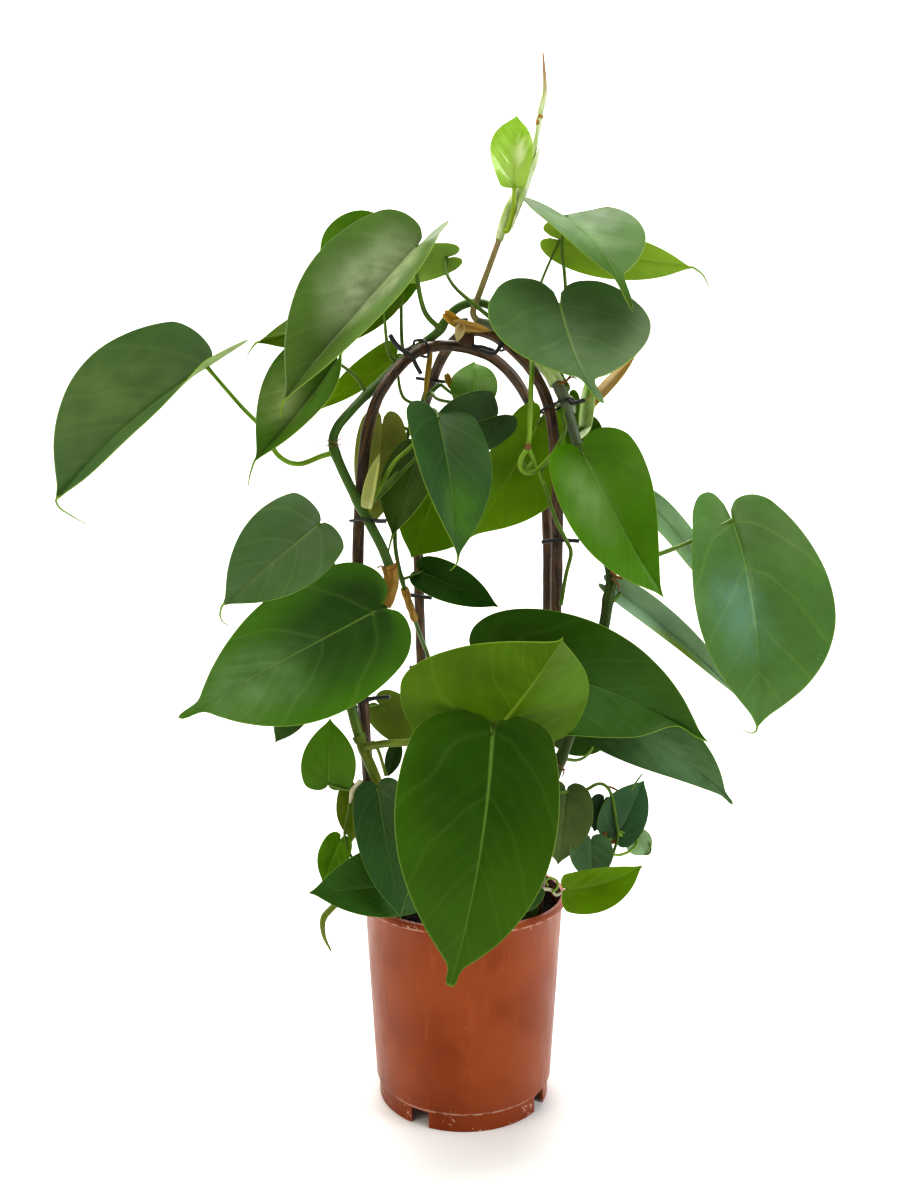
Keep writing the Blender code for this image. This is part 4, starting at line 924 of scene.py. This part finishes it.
stemPieces = {"vine_left": ("vineLeft", 14), "vine_right": ("vineOld", 14),
              "vine_back": ("vine", 12), "stem_middle": ("stalk", 10),
              "shoot_thin": ("stalkPale", 12), "shoot_stem": ("shoot", 14),
              "side_shoot": ("sheathPale", 12)}
for name, (look, sides) in stemPieces.items():
    rod = rods[name]
    stem = bentTube(camel(name), rod.route, rod.radii, stemMaterials[look], sides)
    handOver(stem, "dry_stem" if look in ("shoot", "sheathPale") else "green_stem", name)


# leaves

print("leaves")
halfOutline = [(-0.075, 0.022), (-0.125, 0.085), (-0.14, 0.17), (-0.12, 0.28), (-0.055, 0.385),
               (0.05, 0.455), (0.19, 0.496), (0.36, 0.50), (0.53, 0.45), (0.68, 0.352),
               (0.80, 0.235), (0.885, 0.125), (0.945, 0.045), (1.0, 0.0)]
bladeMesh = {0: (64, 26), 1: (48, 20), 2: (36, 14)}     # steps round the edge, steps out to it
dipValues = dict(place=0.87, reach=0.09)     # where along the blade the margin rolls in
curlReach = 0.45     # the share of the blade, from the stalk, that curls
quiltCount = 5     # puffed stretches between the side veins of a half
leafBasis = dict(stalk=(), stalkRadius=1.6, stalkLook="stalk", drip=(), wideLeft=0.5, roll=0,
                 bow=0.05, sweep=0.0, fold=(8, 8), cup=(10, 10), curl=(0, 0), lobe=1.0,
                 full=0.0, point=0.0, tipWidth=0.025, dip=0.0, size=1, thick=0.6, quilt=0.04,
                 ruffle=0.8, groove=0.5, tone2=None, under="#6c8426", look={})


def heartEdge(leaf):
    # one half of the margin, where point is the share of the length that the narrow tip takes
    edge = [(a * (1 - leaf["point"]) if a > 0 else a, c) for a, c in halfOutline[:-1]]
    if leaf["point"] > 0:
        edge.append((1 - 0.4 * leaf["point"], leaf["tipWidth"]))
    return smoothRoute(edge + [halfOutline[-1]], 0.01)


def bladePoint(leaf, along, across, edge):
    base, tip = leaf["baseMm"], leaf["tipMm"]
    length = np.linalg.norm(tip - base)
    ahead = (tip - base) / length
    eye = unit(viewPoint - base)
    face = unit(eye - (eye @ ahead) * ahead)
    right = np.cross(face, ahead)
    turn = math.radians(leaf["roll"])
    face, right = (math.cos(turn) * face + math.sin(turn) * right,
                   math.cos(turn) * right - math.sin(turn) * face)
    onRight = across > 0
    lobe = leaf["lobe"] if isinstance(leaf["lobe"], tuple) else (leaf["lobe"],) * 2
    a = np.where(along < 0, along * np.where(onRight, lobe[1], lobe[0]), along)
    full = leaf["full"] if isinstance(leaf["full"], tuple) else (leaf["full"],) * 2
    full = np.where(onRight, full[1], full[0])
    inside = np.clip(a, 0, 1)
    arch = np.where(a > 0, 4 * inside * (1 - inside), 4 * a)
    lift = leaf["bow"] * arch * length
    swing = leaf["sweep"] * arch * length
    bend = np.arctan(4 * leaf["sweep"] * (1 - 2 * inside))
    half = leaf["width"] * np.where(onRight, 1 - leaf["wideLeft"], leaf["wideLeft"])
    outPart = np.abs(across) * 2
    nearStalk = np.clip(1 - inside / curlReach, 0, 1) ** 2
    fold = np.radians(np.where(onRight, leaf["fold"][1] + leaf["curl"][1] * nearStalk,
                               leaf["fold"][0] + leaf["curl"][0] * nearStalk))
    cup = np.radians(np.where(onRight, leaf["cup"][1], leaf["cup"][0])) + 1e-4
    out = half * (np.sin(fold + cup * outPart) - np.sin(fold)) / cup
    up = half * (np.cos(fold) - np.cos(fold + cup * outPart)) / cup
    # quilting between the side veins, a ruffle at the margin, a groove along the midrib
    vein = along - np.abs(across) * (veinSlope + veinBend * along)
    body = np.clip(outPart * 3, 0, 1) * (1 - edge ** 4)
    up = up + leaf["quilt"] * np.cos(2 * math.pi * quiltCount * vein) * body * (1.4 - 1.3 * inside)
    up = up + leaf["ruffle"] * edge ** 3 * np.sin(9 * along + 5 * np.sign(across) + leaf["phase"])
    up = up - leaf["groove"] * np.exp(-(across * leaf["width"] / 1.6) ** 2) * (edge < 0.999)
    dip = leaf["dip"] * np.exp(-((inside - dipValues["place"]) / dipValues["reach"]) ** 2)
    out = np.where(onRight, out, -out * (1 - dip)) * (1 + full * inside)
    return (base + np.outer(a * length - out * np.sin(bend), ahead)
            + np.outer(out * np.cos(bend) + swing, right) + np.outer(lift + up, face)), face


def blade(name, leaf, skins):
    # a grid whose columns run round the margin and whose rows run out from the stalk,
    # wrapped into the heart, given its thickness by Solidify
    spokes, rings = bladeMesh[leaf["size"]]
    bpy.ops.object.select_all(action="DESELECT")
    bpy.ops.mesh.primitive_grid_add(x_subdivisions=2 * spokes, y_subdivisions=rings, size=2)
    sheet = bpy.context.object
    sheet.name = name
    mesh = sheet.data
    flat = np.array([tuple(vert.co) for vert in mesh.vertices])
    lap, edge = (flat[:, 0] + 1) / 2, (flat[:, 1] + 1) / 2
    route = heartEdge(leaf)
    run = runLength(route)
    run = run / run[-1]
    part = np.where(lap < 0.5, lap * 2, 2 - lap * 2)
    along = np.interp(part, run, route[:, 0]) * edge
    across = np.interp(part, run, route[:, 1]) * edge * np.where(lap < 0.5, -1, 1)
    places, face = bladePoint(leaf, along, across, edge)
    mesh.vertices.foreach_set("co", (places * mm).ravel())
    while mesh.uv_layers:
        mesh.uv_layers.remove(mesh.uv_layers[0])
    layer = mesh.uv_layers.new(name="blade")
    corner = np.array([loop.vertex_index for loop in mesh.loops])
    layer.data.foreach_set("uv", np.stack([along[corner], across[corner] + 0.5], 1).ravel())
    mesh.attributes.new("edge", "FLOAT", "POINT").data.foreach_set("value", edge)
    mesh.update()
    up = np.zeros(3)
    for polygon in mesh.polygons:
        up += np.array(polygon.normal) * polygon.area
    steps = [lambda: bpy.ops.mesh.remove_doubles(threshold=0.000001)]
    if up @ face < 0:
        steps.append(lambda: bpy.ops.mesh.flip_normals())
    editAll(*steps)
    for skin in skins:
        mesh.materials.append(skin)
    wall = sheet.modifiers.new("thickness", "SOLIDIFY")
    wall.thickness, wall.offset = leaf["thick"] * mm, 0
    wall.material_offset, wall.material_offset_rim = 1, 1
    wall.use_even_offset = False
    bpy.ops.object.modifier_apply(modifier=wall.name)
    bpy.ops.object.shade_smooth_by_angle(angle=math.radians(50))
    return sheet


def leafSkins(name, leaf):
    upper = upperSkin(leaf["tone"], leaf["tone2"] or shade(leaf["tone"], 0.88), **leaf["look"])
    under = underSkin(leaf["under"], shade(leaf["under"], 0.86))
    return [leafSkin(name + "WaxyUpper", upper), leafSkin(name + "MattUnderside", under)]


def leafValues(values):
    leaf = dict(leafBasis)
    leaf.update(values)
    leaf["baseMm"], leaf["tipMm"] = seen(*leaf["base"]), seen(*leaf["tip"])
    leaf["phase"] = leaf["base"][0] * 0.7 + leaf["base"][1] * 0.3
    return leaf


stalkTaper = ((0, 1.25), (0.05, 1.15), (0.6, 0.9), (0.93, 0.8), (1, 0.95))
stalkOverlap = 0.8     # how far a stalk goes on past the foot of its blade
dripValues = dict(radii=(1.0, 0.4), inset=0.03)     # inset is a share of the blade
runTaper = 0.8     # a spray's run narrows to this share


def stalkRod(start, places, leaf):
    # from the vine through its places to just past the foot of the blade
    route = [start] + [seen(*place) for place in places] + [leaf["baseMm"]]
    route[-1] = route[-1] + stalkOverlap * unit(route[-1] - route[-2])
    return Rod(route, [(part, leaf["stalkRadius"] * share) for part, share in stalkTaper],
               step=1.8)


def dripTip(leaf):
    # the thread that a heartleaf's point ends in
    depth = leaf["tip"][2]
    inset = dripValues["inset"]
    places = [leaf["tipMm"] * (1 - inset) + leaf["baseMm"] * inset, leaf["tipMm"]]
    places += [seen(px, py, depth) for px, py in leaf["drip"]]
    return Rod(places, dripValues["radii"], step=1.2)


def addLeaf(name, values):
    leaf = leafValues(values)
    pieceName = camel(name)
    trunk = rods[leaf["stem"]]
    first = seen(*(leaf["stalk"][0] if leaf["stalk"] else leaf["base"]))
    start = trunk.route[trunk.nearest(first)]
    rod = stalkRod(start, leaf["stalk"], leaf)
    parts = [blade(pieceName, leaf, leafSkins(pieceName, leaf))]
    parts.append(bentTube("stalk", rod.route, rod.radii, stemMaterials[leaf["stalkLook"]], 10))
    if leaf["drip"]:
        drip = dripTip(leaf)
        parts.append(bentTube("drip", drip.route, drip.radii, stemMaterials["stalkPale"], 6))
    piece = joined(pieceName, parts)
    return handOver(piece, "leaf_green", name)


for name, values in leaves.items():
    addLeaf(name, values)


# small leaves low on the plant

print("low sprays")
sprays = {
    "spray_low_left": dict(
        stem="vine_left",
        runs=[
            (1.5, [(379, 788, -49), (366, 789, -56), (352, 790, -60), (340, 788, -60),
                   (328, 784, -60)]),
            (1.3, [(366, 789, -56), (372, 788, -64), (378, 790, -68)]),
            (1.2, [(352, 790, -60), (348, 815, -62), (345, 838, -66), (358, 865, -70),
                   (392, 880, -66), (420, 884, -62)]),
            (1.1, [(345, 838, -66), (340, 840, -66)]),
            (1.1, [(352, 790, -60), (354, 788, -50), (355, 788, -44)])],
        leaves=[
            dict(base=(328, 784, -60), tip=(330, 718, -62), width=42, fold=(4, 4), lobe=0.7,
                 tone="#446a06"),
            dict(base=(378, 790, -68), tip=(401, 919, -96), width=44, roll=-10, fold=(14, 6),
                 cup=(12, 12), lobe=0.6, tone="#2e4c26"),
            dict(base=(420, 884, -62), tip=(308, 893, -92), width=54, wideLeft=0.58, bow=0.08,
                 lobe=0.8, tone="#2c4e14"),
            dict(base=(340, 840, -66), tip=(322, 882, -72), width=24, fold=(4, 4), tone="#507a00"),
            dict(base=(355, 788, -44), tip=(352, 842, -42), width=28, fold=(4, 4), tone="#566a0e")]),
    "spray_low_right": dict(
        stem="vine_right",
        runs=[
            (1.5, [(548, 796, -55), (566, 792, -46), (585, 790, -44), (597, 784, -44),
                   (606, 786, -44), (612, 797, -44), (616, 820, -46), (618, 836, -46),
                   (612, 857, -48)]),
            (1.1, [(616, 830, -46), (628, 834, -42), (636, 838, -36), (633, 836, -32)]),
            (1.1, [(612, 838, -46), (600, 842, -50), (591, 840, -54)]),
            (1.2, [(612, 857, -48), (590, 872, -66), (566, 889, -78)])],
        leaves=[
            dict(base=(566, 792, -46), tip=(558, 865, -56), width=46, fold=(6, 6), cup=(14, 14),
                 tone="#56663a"),
            dict(base=(618, 836, -43), tip=(644, 780, -34), width=38, wideLeft=0.4, roll=-10,
                 fold=(10, 10), tone="#38583a"),
            dict(base=(591, 840, -54), tip=(592, 884, -66), width=34, fold=(6, 6), tone="#506e4a"),
            dict(base=(566, 889, -78), tip=(643, 865, -92), width=32, wideLeft=0.6, fold=(6, 6),
                 cup=(8, 8), sweep=-0.07, lobe=0.4, tone="#5c8000"),
            dict(base=(633, 836, -32), tip=(650, 854, -32), width=22, fold=(6, 6), tone="#84a074")]),
}


def addSpray(name, values):
    trunk = rods[values["stem"]]
    parts = []
    for number, (radius, places) in enumerate(values["runs"]):
        places = [seen(*place) for place in places]
        if number == 0:
            places[0] = trunk.route[trunk.nearest(places[0])]
        rod = Rod(places, (radius, radius * runTaper), step=1.6)
        parts.append(bentTube("run", rod.route, rod.radii, stemMaterials["stalk"], 10))
    for number, given in enumerate(values["leaves"]):
        leaf = leafValues({**dict(size=2, under="#4d5e2a", ruffle=0.4, quilt=0.2), **given})
        label = camel(name) + "Leaf%d" % (number + 1)
        parts.append(blade(label, leaf, leafSkins(label, leaf)))
    return handOver(joined(camel(name), parts), "leaf_dark", name)


for name, values in sprays.items():
    addSpray(name, values)


# the unfolding leaf and its sheath at the top

print("top shoot")
shootTip = dict(
    route=[(499, 240, -27), (503, 226, -27), (509, 210, -27), (520, 190, -29), (531, 160, -31),
           (537, 135, -32), (541, 110, -34), (545, 90, -36), (543, 53, -38)],
    radii=((0, 3.3), (0.12, 4.2), (0.3, 4.6), (0.48, 2.8), (0.58, 1.9), (0.66, 2.2),
           (0.74, 2.4), (0.86, 1.5), (1, 0.7)))
newLeaf = dict(base=(514, 187, -36), tip=(517, 115, -46), width=25, wideLeft=0.44,
               fold=(22, 22), cup=(22, 22), bow=0.10, lobe=0.1, size=2, quilt=0.5, ruffle=0.9,
               full=(1.0, 1.5), tone="#7ca428", tone2="#a8c85a", under="#9ab84a",
               look=dict(rough=0.16, shine=0.5, ribTone="#c4d67c", veinTone="#b8cc70",
                         veinShow=0.3, glow=(0.45, 0.35, 0.26, "#d8e6b0")),
               stalk=[(508, 230, -31), (512, 216, -34), (514, 204, -36)], stalkRadius=2.0)
tipRod = Rod([seen(*place) for place in shootTip["route"]], shootTip["radii"], step=1.5)
tip = bentTube("shootTip", tipRod.route, tipRod.radii, stemMaterials["sheathPale"], 14)
handOver(tip, "new_growth", "shoot_tip")
fresh = leafValues(newLeaf)
nearTip = tipRod.route[tipRod.nearest(seen(*newLeaf["stalk"][0]))]
freshStalk = stalkRod(nearTip, newLeaf["stalk"], fresh)
parts = [blade("newLeafBlade", fresh, leafSkins("newLeaf", fresh)),
         bentTube("stalk", freshStalk.route, freshStalk.radii, stemMaterials["stalkFresh"], 10)]
handOver(joined("newLeafBlade", parts), "new_growth", "new_leaf")


# ties, clip and dried sheaths

print("ties and sheaths")
# stem, hoop, the pixel on the stem where the tie goes round, and the places of its free end
ties = {
    "tie_top_left": ("vine_left", "hoop_a", (418, 348), [(402, 350, -26), (391, 338, -30)]),
    "tie_right": ("vine_right", "hoop_b", (560, 404), [(572, 403, -62), (585, 400, -66)]),
    "tie_top_right": ("vine_right", "hoop_b", (506, 336), [(496, 352, -34), (480, 350, -32)]),
    "tie_left": ("vine_left", "hoop_a", (364, 522), [(378, 521, -64), (386, 521, -66)]),
    "tie_low_back": ("vine_back", "hoop_b", (426, 668), [(416, 668, 56), (410, 667, 54)]),
    "tie_low_left": ("vine_left", "hoop_a", (358, 700), [(376, 698, -56), (390, 697, -58)]),
}
tieValues = dict(radius=1.1, slack=1.0, touch=0.35, strap=1.5, span=3, arcPlaces=13,
                 tailFrom=20)
tieMaterial = tiePlastic()


def addTie(name, stemName, hoopName, pixel, freeEnd):
    v, stem, hoop = tieValues, rods[stemName], rods[hoopName]
    i = stem.underPixel(*pixel)
    p = stem.route[i]
    j = hoop.nearest(p)
    h = hoop.route[j]
    after, before = min(j + v["span"], len(hoop.route) - 1), max(j - v["span"], 0)
    ahead = unit(hoop.route[after] - hoop.route[before])
    u = p - h
    u = unit(u - (u @ ahead) * ahead)
    w = np.cross(ahead, u)
    gap = v["radius"] + v["slack"] + v["touch"]
    loop = []
    for centre, radius, start in ((h, hoop.radii[j] + gap, 90), (p, stem.radii[i] + gap, -90)):
        for a in np.radians(start + np.linspace(0, 180, v["arcPlaces"])):
            loop.append(centre + radius * (math.cos(a) * u + math.sin(a) * w))
    parts = [bentTube("loop", loop, v["radius"], tieMaterial, 8, True)]
    tail = Rod([loop[v["tailFrom"]]] + [seen(*place) for place in freeEnd],
               (v["radius"] * v["strap"],) * 2, step=1.5)
    parts.append(bentTube("tail", tail.route, tail.radii, tieMaterial, 8))
    handOver(joined(camel(name), parts), "tie_plastic", name)


for name, values in ties.items():
    addTie(name, *values)

clipValues = dict(size=(15.0, 11.0, 13.0), round=1.4, above=600.0)


def addClip(v):
    hoopA, hoopB = rods["hoop_a"], rods["hoop_b"]
    gaps = np.linalg.norm((hoopA.route[:, None] - hoopB.route[None])[..., :2], axis=2)
    gaps[hoopA.route[:, 2] < v["above"]] = np.inf
    i, j = np.unravel_index(np.argmin(gaps), gaps.shape)
    middle = (hoopA.route[i] + hoopB.route[j]) / 2
    bpy.ops.object.select_all(action="DESELECT")
    bpy.ops.mesh.primitive_cube_add(size=1, location=tuple(middle * mm),
                                    scale=tuple(s * mm for s in v["size"]))
    clip = bpy.context.object
    clip.name = "clipBlock"
    bpy.ops.object.transform_apply(location=True, rotation=True, scale=True)
    soften = clip.modifiers.new("soften", "BEVEL")
    soften.width, soften.segments = v["round"] * mm, 3
    bpy.ops.object.modifier_apply(modifier=soften.name)
    bpy.ops.object.shade_smooth_by_angle(angle=math.radians(40))
    clip.data.materials.append(hoopMaterial)
    handOver(clip, "hoop_plastic", "clip")


addClip(clipValues)

# stem, first and last pixel along it, how far the sheath stands off it, and its look
sleeves = {
    "sheath_left": ("vine_left", (384, 604), (397, 563), (1.6, 2.2), "sheathDry"),
    "sheath_right": ("vine_right", (556, 383), (526, 347), (2.0, 1.4), "sheathPale"),
    "sheath_back": ("vine_back", (413, 620), (405, 588), (1.1, 1.6), "sheathDry"),
}
for name, (stemName, begin, end, extra, look) in sleeves.items():
    stem = rods[stemName]
    i, j = sorted((stem.underPixel(*begin), stem.underPixel(*end)))
    part = runLength(stem.route[i:j + 1])
    # a dried sheath is rippled along its length
    swell = np.linspace(extra[0], extra[1], j + 1 - i) + 0.25 * np.sin(part / 2.2)
    sleeve = bentTube(camel(name), stem.route[i:j + 1], stem.radii[i:j + 1] + swell,
                      stemMaterials[look], 14)
    handOver(sleeve, "dry_sheath", name)


# small growth, scraps and straps

print("scraps and straps")
extraLooks = {
    # dried bract in strips, and a rust-brown root
    "scrap": dict(tone="#b5852c", tone2="#cfae6c", tone3="#8f6420", fleck=0.3, rough=0.7),
    "rust": dict(tone="#6a3a1c", tone2="#845228", tone3="#4c2814", fleck=0.3, rough=0.8),
    "paleRoot": dict(tone="#b4ae90", tone2="#c9c4aa", tone3="#8f8a66", fleck=0.3, rough=0.7),
}
stemMaterials.update({key: stemSkin("bit" + key[0].upper() + key[1:], values)
                      for key, values in extraLooks.items()})
stemMaterials["tie"] = tieMaterial
extras = {
    "scrapsAtTop": dict(slot="dry_sheath", blades=[
        dict(base=(447, 315, -34), tip=(470, 333, -36), width=9, tone="#c08a2a", cup=(30, 30)),
        dict(base=(457, 324, -38), tip=(492, 331, -36), width=8, tone="#b98f4a", cup=(40, 10)),
        dict(base=(461, 326, -38), tip=(457, 342, -38), width=8, tone="#cdb98a", cup=(20, 20))]),
    "sheathFlap": dict(slot="dry_sheath", rods=[
        ("sheathDry", (2.2, 2.4), [(538, 125, -33), (539, 120, -33), (541, 115, -34)]),
        ("sheathPale", ((0, 0.7), (0.4, 2.6), (0.8, 2.0), (1, 0.4)), [
            (512, 228, -34), (521, 200, -34), (529, 178, -34), (536, 160, -34),
            (540, 146, -34)])]),
    "stripsBehind": dict(slot="dry_sheath", blades=[
        dict(base=(430, 357, 6), tip=(424, 402, 6), width=5, tone="#a88a3e", cup=(40, 40)),
        dict(base=(447, 376, 30), tip=(453, 392, 30), width=6, tone="#9a7a34", cup=(20, 20))]),
    "paleBract": dict(slot="new_growth", blades=[
        dict(base=(368, 508, -60), tip=(380, 453, -58), width=13, wideLeft=0.45, roll=15,
             fold=(30, 30), cup=(30, 30), tone="#aab067", tone2="#c6c890", under="#b9bd85",
             lobe=0.1)],
        rods=[("stalkPale", (1.9, 1.5), [(369, 508, -58), (380, 488, -56), (394, 463, -54),
                                         (412, 446, -46), (425, 430, -40)]),
              ("stalk", (1.7, 1.4), [(375, 500, -54), (388, 488, -50), (404, 470, -46),
                                     (420, 455, -40)])]),
    "sideSheath": dict(slot="new_growth", blades=[
        dict(base=(585, 426, -44), tip=(591, 371, -48), width=17, fold=(30, 30), cup=(40, 40),
             tone="#8cae52", tone2="#e0e4c4", under="#c8d0a0", lobe=0.1),
        dict(base=(590, 404, -46), tip=(636, 355, -48), width=13, fold=(30, 30), cup=(30, 30),
             tone="#bd9c68", tone2="#d8c49a", under="#cdb583", lobe=0.1)]),
    "rootsAtNodes": dict(slot="dry_stem", rods=[
        ("root", (0.5, 0.2), [(334, 443, -50), (326, 440, -56), (315, 441, -58)]),
        ("root", (0.5, 0.2), [(333, 446, -50), (324, 446, -56), (318, 450, -58)]),
        ("root", (0.5, 0.2), [(335, 443, -50), (342, 437, -56), (347, 432, -58)]),
        ("root", (0.5, 0.2), [(336, 446, -50), (343, 444, -56), (352, 447, -58)]),
        ("rust", (1.2, 0.5), [(558, 384, -54), (566, 381, -56), (570, 376, -58),
                              (575, 371, -58)]),
        ("rust", (0.8, 0.4), [(567, 380, -56), (572, 377, -60), (577, 379, -62)]),
        ("rust", (1.3, 0.7), [(611, 572, -66), (619, 578, -70), (625, 577, -72)]),
        ("root", (1.1, 0.5), [(612, 578, -66), (618, 584, -70), (619, 590, -72)]),
        ("root", (0.8, 0.3), [(553, 761, -62), (560, 766, -64), (567, 771, -64)]),
        ("rust", (0.9, 0.4), [(562, 767, -62), (564, 772, -64), (562, 777, -64)]),
        ("rust", (0.9, 0.3), [(391, 571, -56), (396, 566, -58), (398, 558, -58)]),
        ("root", (0.9, 0.5), [(387, 572, -54), (382, 566, -58), (377, 568, -60)])]),
    "shootLoop": dict(slot="green_stem", rods=[
        ("root", (2.6, 2.6), [(527, 444, -66), (528, 447, -66), (527, 450, -66)]),
        ("stalkPale", (2.1, 1.3), [(527, 450, -66), (521, 459, -68), (521, 469, -70),
                                   (528, 473, -70), (537, 470, -70), (546, 461, -68),
                                   (556, 451, -66), (563, 441, -64)]),
        ("stalkPale", (1.9, 1.2), [(529, 450, -66), (535, 462, -68), (541, 476, -70),
                                   (544, 484, -70)])]),
    "lowElbow": dict(slot="green_stem", rods=[
        ("stalkPale", (1.3, 1.1), [(618, 833, -46), (624, 836, -42), (632, 835, -40),
                                   (637, 839, -40), (635, 846, -42), (628, 852, -44),
                                   (619, 855, -46), (612, 854, -48)]),
        ("stalk", (0.9, 0.5), [(649, 843, -34), (651, 849, -34), (649, 854, -34),
                               (644, 855, -34)]),
        ("rust", (1.0, 0.6), [(605, 786, -42), (613, 788, -38), (621, 792, -36),
                              (630, 790, -36)]),
        ("rust", (1.8, 1.2), [(604, 832, -44), (608, 840, -42), (614, 842, -42),
                              (617, 834, -42)])]),
    "bitsOnCompost": dict(slot="new_growth", rods=[
        ("stalkPale", (1.1, 0.7), [(552, 892, -62), (557, 888, -62), (557, 881, -62),
                                   (551, 878, -62), (546, 881, -62), (548, 886, -62)]),
        ("paleRoot", (1.4, 1.0), [(543, 889, -62), (551, 890, -60), (556, 895, -58),
                                  (563, 892, -58)])]),
    "lowLeaflets": dict(slot="leaf_dark", blades=[
        dict(base=(539, 889, -66), tip=(522, 914, -70), width=13, tone="#2f4d20",
             lobe=0.6)],
        rods=[("stalkOlive", ((0, 1.6), (0.4, 2.5), (1, 0.6)), [
                  (341, 902, -84), (332, 909, -85), (323, 920, -86), (324, 936, -86),
                  (331, 951, -86)]),
              ("stalkPale", ((0, 1.4), (0.5, 1.6), (1, 0.5)), [
                  (333, 905, -82), (326, 912, -83), (322, 918, -84), (325, 925, -84)])]),
    "lowLeftBits": dict(slot="leaf_dark", blades=[
        dict(base=(396, 748, -40), tip=(388, 777, -42), width=13, tone="#2a4418"),
        dict(base=(388, 894, -80), tip=(388, 914, -82), width=7, tone="#7e983e"),
        dict(base=(304, 694, -40), tip=(275, 743, -44), width=26, tone="#30481c")],
        rods=[("stalkOlive", (1.5, 1.3), [(372, 741, -58), (379, 752, -60), (386, 776, -60)]),
              ("paleRoot", ((0, 0.8), (0.5, 2.6), (1, 1.6)), [
                  (350, 803, -66), (353, 791, -67), (361, 780, -66)]),
              ("vineLeft", (5.4, 5.4), [(358, 735, -53), (361, 741, -53)])]),
    "lowRightBits": dict(slot="leaf_dark", blades=[
        dict(base=(604, 800, -34), tip=(594, 832, -36), width=22, tone="#3c5640")],
        rods=[("stalk", (0.9, 0.6), [(631, 790, -50), (637, 781, -50), (642, 774, -50)]),
              ("stalkOlive", (1.6, 1.5), [(538, 731, -50), (547, 747, -52), (556, 762, -56)])]),
    "straps": dict(slot="tie_plastic", rods=[
        ("tie", (1.9, 1.7), [(390, 335, -36), (396, 344, -36), (405, 352, -34),
                             (412, 357, -30), (416, 365, -28), (421, 374, -26)]),
        ("tie", (1.5, 1.5), [(416, 378, 40), (430, 380, 38), (447, 382, 38)]),
        ("tie", (1.7, 1.7), [(472, 347, -4), (482, 347, -2), (490, 350, 0)]),
        ("tie", (2.8, 2.6), [(488, 350, 0), (494, 352, 0)]),
        ("tie", (1.9, 1.9), [(459, 321, -30), (468, 320, -30)]),
        ("tie", (1.6, 1.6), [(542, 542, -46), (557, 540, -51), (579, 541, -50)]),
        ("tie", (1.8, 1.8), [(404, 594, 60), (418, 596, 62), (432, 598, 62)])]),
}


def addExtra(name, values):
    parts = []
    for number, given in enumerate(values.get("blades", ())):
        leaf = leafValues({**dict(size=2, ruffle=0.3, quilt=0.0, under=given["tone"]), **given})
        parts.append(blade("bit", leaf, leafSkins(name + str(number), leaf)))
    for look, radii, places in values.get("rods", ()):
        rod = Rod([seen(*place) for place in places], radii, step=1.2)
        parts.append(bentTube("bit", rod.route, rod.radii, stemMaterials[look], 8))
    return handOver(joined(name, parts), values["slot"])


for name, values in extras.items():
    addExtra(name, values)


# close

print("done")
